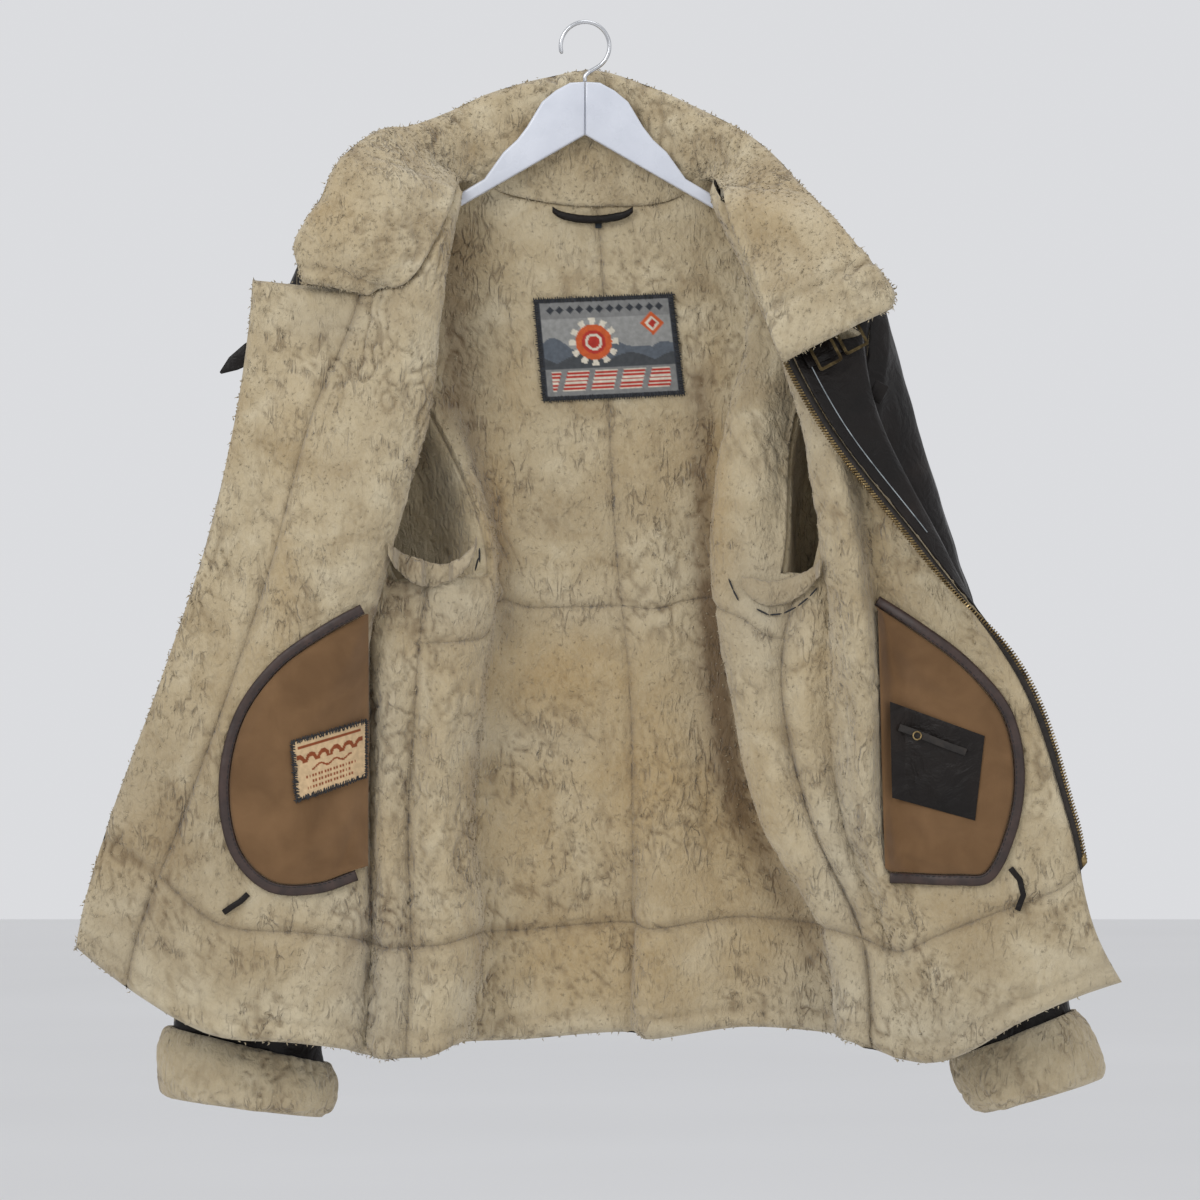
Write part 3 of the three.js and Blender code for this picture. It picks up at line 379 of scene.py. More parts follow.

# %% [markdown]
# The leather is almost black brown, with a satin shine that varies, fine pebbled grain and long
# soft creases. Its colour wanders a little paler in patches.

# %% Leather, binding and cotton
leather = Finish("leather", 0.48, Specular_IOR_Level=0.22)
shade = leather.noise(0.05, 4, 0.5)
leather.color(leather.ramp(shade, (0.3, (0.0045, 0.0032, 0.0027)), (0.62, (0.009, 0.0062, 0.005)),
                           (0.82, (0.020, 0.013, 0.0095))))
pebble = leather.add("ShaderNodeTexVoronoi", {"Vector": leather.place, "Scale": 700.0}).outputs["Distance"]
crease = leather.noise(0.02, 5, 1.2, roughness=0.6)
leather.rough(leather.ramp(leather.noise(0.03, 3), (0.35, (0.34, 0.34, 0.34)), (0.7, (0.58, 0.58, 0.58))))
leather.bump((pebble, 0.25, 0.0004), (crease, 0.7, 0.004))

hide = (fleece, leather)

binding = two_tone("binding", 0.5, 0.012, 4, (0.020, 0.0105, 0.008), (0.048, 0.025, 0.019))
binding.bump((binding.noise(0.0015, 3), 0.3, 0.0005), (binding.noise(0.012, 3, 1.0), 0.4, 0.0015))

cotton = Finish("pocket_cotton", 0.92, Sheen_Weight=0.2, Specular_IOR_Level=0.2)
weave_place = cotton.add("ShaderNodeUVMap", uv_map="cloth").outputs["UV"]
weave = cotton.add("ShaderNodeTexWave", {"Vector": weave_place, "Scale": 420.0, "Distortion": 1.0},
                   bands_direction="X").outputs["Fac"]
weft = cotton.add("ShaderNodeTexWave", {"Vector": weave_place, "Scale": 380.0, "Distortion": 1.0},
                  bands_direction="Y").outputs["Fac"]
threads = cotton.math("MULTIPLY", cotton.math("ADD", weave, weft), 0.5)
dye = cotton.ramp(cotton.noise(0.035, 4, 0.4), (0.3, (0.118, 0.062, 0.026)), (0.7, (0.185, 0.102, 0.046)))
cotton.color(cotton.mix(cotton.math("MULTIPLY", threads, 0.3), dye, (0.23, 0.135, 0.065)))
cotton.bump((threads, 0.35, 0.0004), (cotton.noise(0.012, 3), 0.3, 0.0012))

# %% [markdown]
# Printed cloth takes its colours from a painted attribute, so one finish serves the patch, the
# label and the size tab. Thread, tape, brass, steel and painted wood are simpler.

# %% Printed cloth, thread, tape, metal and wood
printed = Finish("printed_cloth", 0.85, Sheen_Weight=0.1, Specular_IOR_Level=0.2)
ink = printed.add("ShaderNodeAttribute", attribute_name="print").outputs["Color"]
wear = printed.ramp(printed.noise(0.004, 4), (0.35, (0.80, 0.80, 0.80)), (0.65, (1.0, 1.0, 1.0)))
printed.color(printed.mix(1.0, ink, wear, "MULTIPLY"))
printed.bump((printed.noise(0.0009, 2), 0.3, 0.0003))

thread = two_tone("dark_thread", 0.8, 0.003, 2, (0.010, 0.011, 0.012), (0.035, 0.035, 0.037), (0.35, 0.7))
thread.bump((thread.noise(0.0006, 2), 0.4, 0.0002))

tape = two_tone("zip_tape", 0.8, 0.006, 4, (0.010, 0.008, 0.007), (0.026, 0.020, 0.016))
tape.bump((tape.noise(0.0009, 2), 0.5, 0.0003))

brass = Finish("dark_brass", 0.38, 0.9)
tarnish = brass.noise(0.006, 5, 0.6)
brass.color(brass.ramp(
    tarnish, (0.35, (0.10, 0.068, 0.03)), (0.6, (0.30, 0.215, 0.10)), (0.8, (0.42, 0.32, 0.17))))
brass.rough(brass.ramp(tarnish, (0.3, (0.55, 0.55, 0.55)), (0.7, (0.28, 0.28, 0.28))))

old_brass = Finish("old_brass", 0.42, 0.9)
patina = old_brass.noise(0.008, 5, 0.6)
old_brass.color(old_brass.ramp(
    patina, (0.35, (0.035, 0.024, 0.011)), (0.6, (0.11, 0.08, 0.036)), (0.8, (0.24, 0.18, 0.09))))

steel = two_tone("bright_wire", 0.22, 0.01, 3, (0.50, 0.51, 0.53), (0.66, 0.67, 0.69), metallic=1.0)
steel.rough(steel.ramp(steel.noise(0.004, 3), (0.3, (0.18, 0.18, 0.18)), (0.7, (0.30, 0.30, 0.30))))

paint_white = two_tone("white_gloss_paint", 0.28, 0.03, 4, (0.55, 0.575, 0.64), (0.62, 0.645, 0.71),
                       Coat_Weight=0.25, Coat_Roughness=0.12)
grain = paint_white.noise(0.01, 4, 0.5, stretch=(0.25, 1.0, 1.0))
paint_white.rough(paint_white.ramp(
    paint_white.noise(0.02, 3), (0.3, (0.24, 0.24, 0.24)), (0.7, (0.36, 0.36, 0.36))))
paint_white.bump((grain, 0.15, 0.0005))
print("finishes", len(bpy.data.materials))

# %% [markdown]
# ## The body's net
# The body is one sheet, from the left front's free edge round the back to the right front's zip.
# It is set by lines that run down it. Each has a place at eight heights, and smooth curves run
# through those places and across from line to line. Panels are then taken out of this one net,
# so that their edges meet exactly.

# %% Lines down the body
LEVELS = np.array([-150.0, -240.0, -340.0, -450.0, -560.0, -680.0, -780.0, -880.0])
BAND_HEIGHT = 94.0
SHOULDER_ROUND = 16.0
SHOULDER_PART = 1.8
ARMHOLE_END = 0.468
YOKE_SEAM = 0.561
# name: top, hem, runs over the hanger, x at each level, y at each level
LINES = {
    "flap_edge": (-221, -787, 0,
        [-280, -283, -297, -323, -360, -404, -431, -436], [-60, -64, -66, -64, -60, -56, -54, -52]),
    "flap_seam": (-229, -821, 0,
        [-180, -192, -232, -262, -298, -342, -380, -398], [-66, -70, -74, -74, -68, -62, -58, -56]),
    "front_left": (-226, -861, 0,
        [-160, -171, -199, -226, -254, -289, -312, -318], [-72, -76, -82, -82, -74, -66, -62, -60]),
    "pocket_left": (-219, -868, 0,
        [-138, -149, -168, -195, -216, -232, -242, -246], [-72, -82, -88, -88, -68, -64, -62, -60]),
    "roll_left": (-160, -874, 0,
        [-113, -124, -136, -167, -192, -194, -194, -200], [-44, -62, -66, -68, -50, -46, -50, -54]),
    "valley_left": (-133, -878, 1,
        [-112, -142, -158, -187, -184, -184, -182, -188], [-17, -38, -44, -50, -26, -26, -31, -41]),
    "lobe_left": (-200, -882, 1,
        [-238, -241, -222, -172, -166, -168, -166, -172], [-18, -30, -38, -38, -44, -46, -50, -56]),
    "side_seam_left": (-200, -881, 1,
        [-238, -230, -190, -140, -143, -150, -148, -152], [-6, -20, -28, -34, -37, -36, -40, -48]),
    "back_lobe_left": (-200, -879, 1,
        [-236, -215, -155, -110, -117, -126, -120, -130], [6, -4, -18, -32, -46, -48, -50, -56]),
    "fold_left": (-200, -871, 1,
        [-236, -194, -128, -84, -93, -103, -95, -111], [17, 16, 0, -20, -26, -28, -30, -36]),
    "root_left": (-131, -870, 1,
        [-106, -126, -104, -74, -84, -95, -86, -100], [19, 20, 18, 12, 8, 8, 6, 0]),
    "back_left": (-145, -869, 0,
        [-62, -75, -60, -50, -48, -54, -50, -55], [20, 23, 25, 26, 27, 28, 26, 22]),
    "centre_seam": (-151, -863, 0,
        [10, 17, 21, 27, 38, 41, 40, 38], [21, 24, 27, 28, 28, 27, 24, 21]),
    "centre_ridge": (-150, -868, 0,
        [44, 50, 54, 58, 64, 66, 55, 51], [21, 23, 26, 27, 24, 18, 10, 5]),
    "back_right": (-147, -858, 0,
        [74, 92, 90, 84, 92, 112, 136, 140], [20, 22, 24, 25, 26, 26, 20, 17]),
    "root_right": (-131, -864, 1,
        [106, 138, 136, 123, 137, 163, 205, 218], [19, 18, 10, 8, 10, 12, 10, 6]),
    "fold_right": (-149, -866, 1,
        [140, 150, 124, 110, 125, 153, 208, 219], [19, 6, -18, -26, -30, -34, -34, -38]),
    "side_face_right": (-171, -868, 1,
        [180, 182, 148, 138, 138, 168, 218, 227], [18, 2, -30, -38, -44, -46, -44, -47]),
    "back_lobe_right": (-200, -871, 1,
        [236, 218, 178, 170, 152, 180, 226, 235], [17, 14, -12, -32, -46, -47, -45, -48]),
    "side_seam_right": (-200, -874, 1,
        [238, 228, 205, 186, 167, 192, 236, 244], [6, -8, -26, -38, -38, -40, -40, -44]),
    "lobe_right": (-200, -879, 1,
        [238, 240, 230, 200, 184, 206, 246, 259], [-18, -30, -38, -42, -47, -49, -47, -54]),
    "valley_right": (-133, -883, 1,
        [112, 158, 203, 213, 206, 220, 256, 273], [-17, -34, -48, -50, -40, -40, -44, -52]),
    "roll_right": (-160, -885, 0,
        [113, 152, 186, 203, 218, 228, 264, 289], [-44, -46, -64, -67, -52, -54, -51, -57]),
    "crest_right": (-200, -882, 0,
        [130, 174, 206, 224, 237, 240, 274, 309], [-50, -50, -80, -84, -72, -66, -58, -60]),
    "pocket_right": (-228, -873, 0,
        [160, 192, 225, 242, 257, 258, 296, 333], [-48, -48, -60, -56, -48, -48, -54, -58]),
    "front_right": (-252, -852, 0,
        [190, 208, 238, 270, 308, 330, 352, 372], [-48, -50, -60, -66, -68, -66, -62, -60]),
    "turned_edge": (-268, -829, 0,
        [215, 228, 246, 301, 354, 392, 414, 417], [-56, -62, -74, -79, -74, -70, -66, -62]),
    "zip_edge": (-277, -816, 0,
        [158, 160, 204, 288, 367, 409, 435, 497], [-58, -66, -92, -92, -80, -74, -68, -64]),
}
NAMES = list(LINES)


def curve_through(heights, values, at):
    """Smooth curve through values at falling heights, read at other heights."""
    last = len(heights) - 1
    ahead = np.minimum(np.arange(last + 1) + 1, last)
    behind = np.maximum(np.arange(last + 1) - 1, 0)
    slopes = (values[ahead] - values[behind]) / (heights[ahead] - heights[behind])
    k = np.clip(np.searchsorted(-heights, -at, side="left") - 1, 0, last - 1)
    span = heights[k + 1] - heights[k]
    t = np.clip((at - heights[k]) / span, 0.0, 1.0)
    t2, t3 = t * t, t * t * t
    return ((2 * t3 - 3 * t2 + 1) * values[k] + (t3 - 2 * t2 + t) * span * slopes[k]
            + (3 * t2 - 2 * t3) * values[k + 1] + (t3 - t2) * span * slopes[k + 1])


def line_points(name, rows):
    top, hem, over, line_x, line_y = LINES[name]
    band_top = hem + BAND_HEIGHT
    z = np.where(rows <= 1, top + (band_top - top) * rows, band_top + (hem - band_top) * (rows - 1))
    x = curve_through(LEVELS, np.array(line_x, float), z)
    y = curve_through(LEVELS, np.array(line_y, float), z)
    turn = np.ones_like(z)
    if over:
        turn = np.sqrt(1 - (1 - np.minimum((top - z) / SHOULDER_ROUND, 1)) ** 2)
    y = y * turn + (1 - turn) * np.sign(y) * SHOULDER_PART
    return np.stack([x, y, z], axis=1), turn


def across(before, start, end, after, t):
    """Centripetal spline between two lines, at parts t of the way."""
    def step(p, q):
        return np.maximum(np.sqrt(np.linalg.norm(q - p, axis=-1)), 0.5)[..., None]
    first, middle, third = step(before, start), step(start, end), step(end, after)
    slope_start = ((start - before) / first - (end - before) / (first + middle)
                   + (end - start) / middle) * middle
    slope_end = ((end - start) / middle - (after - start) / (middle + third)
                 + (after - end) / third) * middle
    t2, t3 = t * t, t * t * t
    return ((2 * t3 - 3 * t2 + 1) * start + (t3 - 2 * t2 + t) * slope_start
            + (3 * t2 - 2 * t3) * end + (t3 - t2) * slope_end)

# %% [markdown]
# The net's cells are about 2.9 mm wide. That is fine enough for mounds and clefts of wool, and
# keeps each panel well under two hundred thousand triangles.

# %% The sheet
GRID = 2.9
BODY_WALL, ABOVE_BAND = 7.5, 640
row_marks = [0, 0.006, 0.017, 0.035, 0.07, ARMHOLE_END, YOKE_SEAM, 1, 2]
rows = []
for low, high in zip(row_marks[:-1], row_marks[1:]):
    length = (high - low) * (BAND_HEIGHT if low >= 1 else ABOVE_BAND)
    count = max(1, round(length / GRID))
    rows += [low + (high - low) * n / count for n in range(count)]
rows = np.array(rows + [2.0])
knots = [line_points(name, rows) for name in NAMES]
column_of = {}
columns = []
for k, name in enumerate(NAMES):
    column_of[name] = len(columns)
    here, turn_here = knots[k]
    if k == len(NAMES) - 1:
        columns.append(here)
        break
    there, turn_there = knots[k + 1]
    before, after = knots[max(k - 1, 0)][0], knots[min(k + 2, len(NAMES) - 1)][0]
    gap = np.mean(np.linalg.norm(there - here, axis=1))
    count = max(3, round(gap / GRID))
    both_over = LINES[name][2] and LINES[NAMES[k + 1]][2]
    turn = np.minimum(turn_here, turn_there)[:, None] if both_over else 1.0
    for n in range(count):
        t = n / count
        curved = across(before, here, there, after, t)
        straight = here + (there - here) * t
        columns.append(here if n == 0 else straight + (curved - straight) * turn)
sheet = np.stack(columns, axis=1)
normals = net_normals(sheet)
along_row = run_lengths(sheet, 1)
down_column = run_lengths(sheet, 0)
armhole_row = int(np.argmin(abs(rows - ARMHOLE_END)))
yoke_row = int(np.argmin(abs(rows - YOKE_SEAM)))
band_row = int(np.argmin(abs(rows - 1.0)))
end_row = len(rows) - 1
print("sheet", sheet.shape)

# %% [markdown]
# ## Where the wool is worn, where it is creased, and where shade is painted
# Old wool isn't one colour. It is golden where hands and the seat have rubbed it, and grey where
# it has matted. These patches are placed as soft ovals. The main creases are placed
# the same way: each is a soft trough or ridge along a short line.
# Shade is painted into the colour as well: soft ovals of it where the wool lies in its own folds, and bands
# of painted shadow in the gaps beside the folds and in the valley by the left front's roll.

# %% Stains, painted shade and creases
# x, z, half width, half height, strength: the golden patches, and three narrow brown streaks beside the folds
# that are painted shade
GOLD_AND_SHADE = [
    (-15, -560, 90, 70, 0.75), (60, -640, 80, 90, 0.8), (-60, -690, 60, 90, 0.5), (110, -700, 60, 110, 0.7),
    (10, -800, 100, 50, 0.75), (150, -800, 50, 60, 0.6), (-330, -330, 45, 60, 0.5),
    (-250, -350, 30, 90, 0.35), (-300, -560, 60, 90, 0.35), (-255, -470, 14, 110, 0.4),
    (-380, -700, 40, 70, 0.45), (60, -370, 60, 45, 0.35), (-90, -200, 40, 40, 0.35),
    (-215, -170, 35, 40, 0.4), (150, -170, 50, 30, 0.45), (215, -170, 40, 30, 0.4),
    (-30, -100, 70, 25, 0.3), (250, -460, 20, 80, 0.4), (300, -760, 60, 40, 0.3),
    # the second and third ovals here and the first on the next line are painted shade beside the folds
    (-150, -520, 25, 60, 0.35), (-78, -430, 16, 90, 0.8), (112, -390, 14, 130, 0.7),
    (104, -640, 18, 130, 0.9), (-60, -300, 20, 60, 0.4), (-170, -700, 22, 90, 0.4),
    (200, -560, 25, 80, 0.35), (360, -600, 30, 90, 0.3), (-230, -790, 90, 30, 0.3),
]
# x, z, half width, half height, strength: the matted grey patches
GREY = [
    (-180, -820, 40, 80, 0.55), (-170, -600, 16, 90, 0.4), (200, -840, 60, 60, 0.5),
    (150, -500, 30, 60, 0.45), (-110, -500, 50, 30, 0.4), (-400, -790, 50, 60, 0.35),
    (0, -500, 60, 25, 0.3), (40, -870, 120, 16, 0.5), (300, -860, 80, 30, 0.45), (220, -700, 25, 90, 0.45),
    (-215, -260, 50, 16, 0.3), (440, -810, 30, 25, 0.4), (110, -560, 22, 90, 0.4),
    (-130, -470, 30, 40, 0.5), (-400, -640, 25, 70, 0.3), (190, -330, 30, 60, 0.25),
    (-50, -610, 60, 20, 0.3),
]
# x, z, half width, half height, strength: painted shade where the wool lies in its own folds
FOLD_SHADE = [
    (-350, -690, 70, 110, 0.26), (-300, -800, 90, 50, 0.16), (-185, -790, 30, 90, 0.18),
    (300, -820, 90, 50, 0.12), (-160, -480, 26, 22, 0.35), (170, -500, 34, 16, 0.25),
    (-182, -230, 30, 18, 0.25), (-60, -50, 50, 14, 0.2),
]
# x, z at the ends, half width, strength: painted shadow in the gaps beside the folds, on the cloth behind
# them
GAP_SHADOWS = [
    (100, -300, 102, -400, 12, 0.55), (102, -400, 103, -480, 12, 0.65), (106, -480, 116, -567, 12, 1.1),
    (116, -567, 124, -631, 13, 1.15), (124, -631, 136, -680, 13, 1.05), (136, -680, 152, -705, 14, 0.75),
    (152, -705, 173, -745, 15, 0.55), (173, -745, 198, -790, 15, 0.35), (-114, -190, -113, -264, 15, 0.5),
    (-113, -264, -110, -326, 15, 0.6), (-110, -326, -98, -367, 14, 0.6), (-98, -367, -78, -450, 14, 0.55),
    (-78, -450, -70, -520, 13, 0.35),
]
# x, z at the ends, half width, depth (a ridge where it is negative)
CREASES = [
    (-262, -400, -287, -560, 6, 2.2), (-275, -410, -330, -600, 9, 1.4), (-205, -250, -232, -420, 8, 1.6),
    (-380, -560, -400, -700, 14, 1.5), (-345, -420, -372, -560, 12, 1.2), (-300, -300, -318, -420, 14, 1.3),
    (-240, -745, -330, -770, 10, 1.4), (-60, -420, -40, -520, 16, 1.2), (70, -360, 95, -500, 14, 1.5),
    (-20, -330, -30, -480, 20, -1.4), (65, -440, 60, -520, 12, -1.5), (-10, -600, 20, -760, 18, 1.5),
    (95, -620, 120, -760, 12, 1.8), (75, -700, 60, -840, 12, -1.8), (160, -560, 185, -700, 8, 1.8),
    (-140, -560, -150, -720, 7, 1.8), (-118, -560, -128, -700, 6, -1.6), (240, -430, 262, -560, 9, 1.6),
    (300, -480, 340, -560, 10, 1.3), (375, -600, 400, -720, 9, 1.3), (380, -760, 420, -800, 10, 1.3),
    (300, -800, 360, -850, 12, 1.6), (-350, -800, -330, -860, 10, 1.4), (-250, -800, -262, -870, 9, 1.6),
]


# x, z at the ends, half width: painted shadow in the deep valley beside the left front's roll
VALLEY_SHADOW = (-181, -500, -184, -760, 5)


def ovals(table, points):
    amount = np.zeros(points.shape[:-1])
    for x, z, wide, high, strength in table:
        reach = ((points[..., 0] - x) / wide) ** 2 + ((points[..., 2] - z) / high) ** 2
        amount = np.maximum(amount, strength * np.exp(-reach))
    return amount


def beside(points, x0, z0, x1, z1, half):
    """One on the line between two places, and less with distance from it."""
    along_x, along_z = x1 - x0, z1 - z0
    t = ((points[..., 0] - x0) * along_x + (points[..., 2] - z0) * along_z) / (along_x ** 2 + along_z ** 2)
    t = np.clip(t, 0, 1)
    away = np.hypot(points[..., 0] - x0 - t * along_x, points[..., 2] - z0 - t * along_z)
    return np.exp(-(away / half) ** 2)


def creased(points):
    return -sum(row[5] * beside(points, *row[:5]) for row in CREASES)


def fold_shadows(points):
    # painted shade and shadow: ovals in the folds, bands in the gaps on the cloth behind the folds, and the
    # valley by the left roll
    behind = soft_step(-4, 8, points[..., 1])
    gap_shadows = np.max([row[5] * beside(points, *row[:5]) for row in GAP_SHADOWS], axis=0) * behind
    valley_shadow = 0.9 * beside(points, *VALLEY_SHADOW)
    return np.maximum(ovals(FOLD_SHADE, points), np.maximum(gap_shadows, valley_shadow))

# %% [markdown]
# ## Panels of the body
# Each panel takes its part of the net. Its wool side is lifted by the wool's relief, sinks into
# a groove at each seam, and rounds off towards each free edge. Its leather side has only slow,
# shallow creases. The two armholes are cells left out of the net.

# %% Relief of the whole sheet
relief, clefts = wool(sheet.reshape(-1, 3), mound=1.6, curl=2.1)
relief = relief.reshape(sheet.shape[:2])
clefts = clefts.reshape(sheet.shape[:2])


def groove(distance, half, depth):
    return depth * np.exp(-(distance / half) ** 2)


def near_edge(distance, radius):
    """How far a round edge falls away, in parts, within a radius of it."""
    t = np.clip(1 - distance / radius, 0, 1)
    return 1 - np.sqrt(1 - t * t)


BAND_GROOVE, HEM_TURNING = 3.4, 17
seams = groove(abs(down_column - down_column[band_row]), 5.0, BAND_GROOVE)
for name in ("side_seam_left", "side_seam_right", "flap_seam"):
    seams = np.maximum(seams, groove(abs(along_row - along_row[:, [column_of[name]]]), 4.0, 2.8))
back = slice(column_of["side_seam_left"], column_of["side_seam_right"] + 1)
yoke = groove(abs(down_column - down_column[yoke_row]), 4.0, 2.4)
seams[:, back] = np.maximum(seams[:, back], yoke[:, back])
centre = groove(abs(along_row - along_row[:, [column_of["centre_seam"]]]), 4.5, 2.6)
seams = np.maximum(seams, centre)
hem_stitch = groove(abs(down_column - (down_column[[end_row]] - HEM_TURNING)), 3.0, 1.6)
seams = np.maximum(seams, hem_stitch)
edge = np.minimum(down_column, down_column[[end_row]] - down_column)
edge = np.minimum(edge, along_row)
edge = np.minimum(edge, along_row[:, [-1]] - along_row)
wool_height = BODY_WALL / 2 + relief + creased(sheet) - seams - 6.0 * near_edge(edge, 8.0)
hide_creases = np.array([0.9 * noise.noise(Vector(p) / 70.0) for p in sheet.reshape(-1, 3)])
hide_height = BODY_WALL / 2 + hide_creases.reshape(relief.shape)
wool_side = sheet + normals * wool_height[..., None]
hide_side = sheet - normals * hide_height[..., None]
# red and green: golden and grey stains, with a few streaks of painted shade; blue: painted shade in the
# clefts, the seam grooves and the gaps beside the folds
stain_and_shade = np.stack([ovals(GOLD_AND_SHADE, sheet), ovals(GREY, sheet),
                  np.clip(clefts * 0.5 + seams * 0.08 + fold_shadows(sheet), 0, 1)], axis=-1)
cloth_uv = np.stack([along_row, -down_column], axis=-1)


def is_armhole(row, column):
    left = (column >= column_of["lobe_left"]) & (column < column_of["fold_left"])
    right = (column >= column_of["back_lobe_right"]) & (column < column_of["lobe_right"])
    return (row < armhole_row) & (left | right)


# name, first line, last line, first row, last row, flat width, flat length, flat area
PANELS = [
    ("wind_flap", "flap_edge", "flap_seam", 0, end_row, 0.10, 0.60, 0.045),
    ("front_left", "flap_seam", "side_seam_left", 0, band_row, 0.30, 0.66, 0.125),
    ("front_band_left", "flap_seam", "side_seam_left", band_row, end_row, 0.27, 0.095, 0.025),
    ("back_upper_left", "side_seam_left", "centre_seam", 0, yoke_row, 0.24, 0.39, 0.07),
    ("back_upper_right", "centre_seam", "side_seam_right", 0, yoke_row, 0.25, 0.39, 0.078),
    ("back_lower_left", "side_seam_left", "centre_seam", yoke_row, band_row, 0.25, 0.29, 0.066),
    ("back_lower_right", "centre_seam", "side_seam_right", yoke_row, band_row, 0.25, 0.29, 0.062),
    ("back_band", "side_seam_left", "side_seam_right", band_row, end_row, 0.52, 0.095, 0.048),
    ("front_right", "side_seam_right", "zip_edge", 0, band_row, 0.34, 0.66, 0.13),
    ("front_band_right", "side_seam_right", "zip_edge", band_row, end_row, 0.28, 0.095, 0.0225),
]
panels = {}
for name, first, last, row0, row1, width, length, area in PANELS:
    part = (slice(row0, row1 + 1), slice(column_of[first], column_of[last] + 1))
    row_index, column_index = np.meshgrid(
        np.arange(row0, row1), np.arange(column_of[first], column_of[last]), indexing="ij")
    piece, used = grid_wall(
        "shearling_" + name, wool_side[part], hide_side[part],
        cells=~is_armhole(row_index, column_index), uv=cloth_uv[part],
        rim_slot=1 if name == "front_right" else 0)
    paint(piece, "stain_and_shade", stain_and_shade[part], used)
    panels[name] = joined(piece, "fleece", hide, [name], (width, length, area), "hung", HANGER)
    print(piece.name, "points", len(used))

# %% [markdown]
# ## Sleeves
# A sleeve starts at its armhole's edge and runs down as flat oval rings. Each ring is given by
# its outer and inner ends, its depth and its half depth. The sleeve is cut in two pieces, and its
# leather is outside here, because the jacket's fleece is its lining. It wrinkles across its
# length most at the elbow and above the cuff.

# %% Sleeve rings
SLEEVE_WALL, ARMHOLE_STEP, LOOP_SHARE = 6.0, 6.4, 40
SLEEVES = {
    # outer x, outer z, inner x, inner z, y, half depth, shift of the back
    "left": ("lobe_left", "fold_left", [
        (-246, -232, -138, -492, 4, 34, 40), (-262, -270, -152, -515, 14, 36, 26),
        (-280, -330, -172, -550, 25, 35, 12), (-299, -430, -188, -605, 32, 33, 4),
        (-317, -540, -203, -668, 35, 31, 0), (-332, -660, -214, -745, 36, 30, 0),
        (-344, -770, -222, -825, 35, 29, 0), (-350, -860, -228, -888, 34, 28, 0),
        (-351, -898, -230, -918, 34, 28, 0)]),
    "right": ("lobe_right", "back_lobe_right", [
        (248, -238, 186, -492, 4, 34, -24), (262, -280, 190, -515, 14, 36, -16),
        (288, -362, 200, -558, 25, 35, -8), (316, -448, 214, -605, 32, 33, 0),
        (343, -540, 234, -668, 35, 31, 0), (368, -640, 258, -738, 36, 30, 0),
        (392, -745, 288, -815, 35, 29, 0), (415, -846, 322, -882, 34, 28, 0),
        (427, -884, 338, -913, 34, 28, 0)]),
}


def oval_points(ring, turns, grow=0.0):
    """Points of one oval ring at turns, 0 at its outer end; grow widens it."""
    outer_x, outer_z, inner_x, inner_z, y, half_depth, shift = ring
    middle = np.array([(outer_x + inner_x) / 2, y, (outer_z + inner_z) / 2])
    to_outer = np.array([outer_x - middle[0], 0, outer_z - middle[2]])
    to_outer *= 1 + grow / np.linalg.norm(to_outer)
    to_back = np.array([shift, half_depth, 0.0])
    to_back *= 1 + grow / np.linalg.norm(to_back)
    angle = turns[..., None] * 2 * math.pi
    return middle + to_outer * np.cos(angle) - to_back * np.sin(angle)


def between_rows(table, steps):
    """Rows of a table joined by smooth curves, with this many steps from each row to the next."""
    table = np.array(table, float)
    out = []
    for k in range(len(table) - 1):
        p0, p1, p2, p3 = (table[min(max(k + d, 0), len(table) - 1)] for d in (-1, 0, 1, 2))
        for n in range(steps[k]):
            out.append(curve_between(p0, p1, p2, p3, n / steps[k]))
    return np.array(out + [table[-1]])


def armhole_loop(down, up):
    """The armhole's edge: down the front, across the underarm and up the back."""
    start, end = column_of[down], column_of[up]
    side = 1 if end > start else -1
    loop = [sheet[row][start] for row in range(armhole_row)]
    loop += [sheet[armhole_row][column] for column in range(start, end, side)]
    loop += [sheet[row][end] for row in range(armhole_row, -1, -1)]
    return np.array(loop)

# %% [markdown]
# The wrinkles are slow noise squeezed along the sleeve, so that each one runs part of the way
# round. Their depth grows towards the elbow and the wrist.

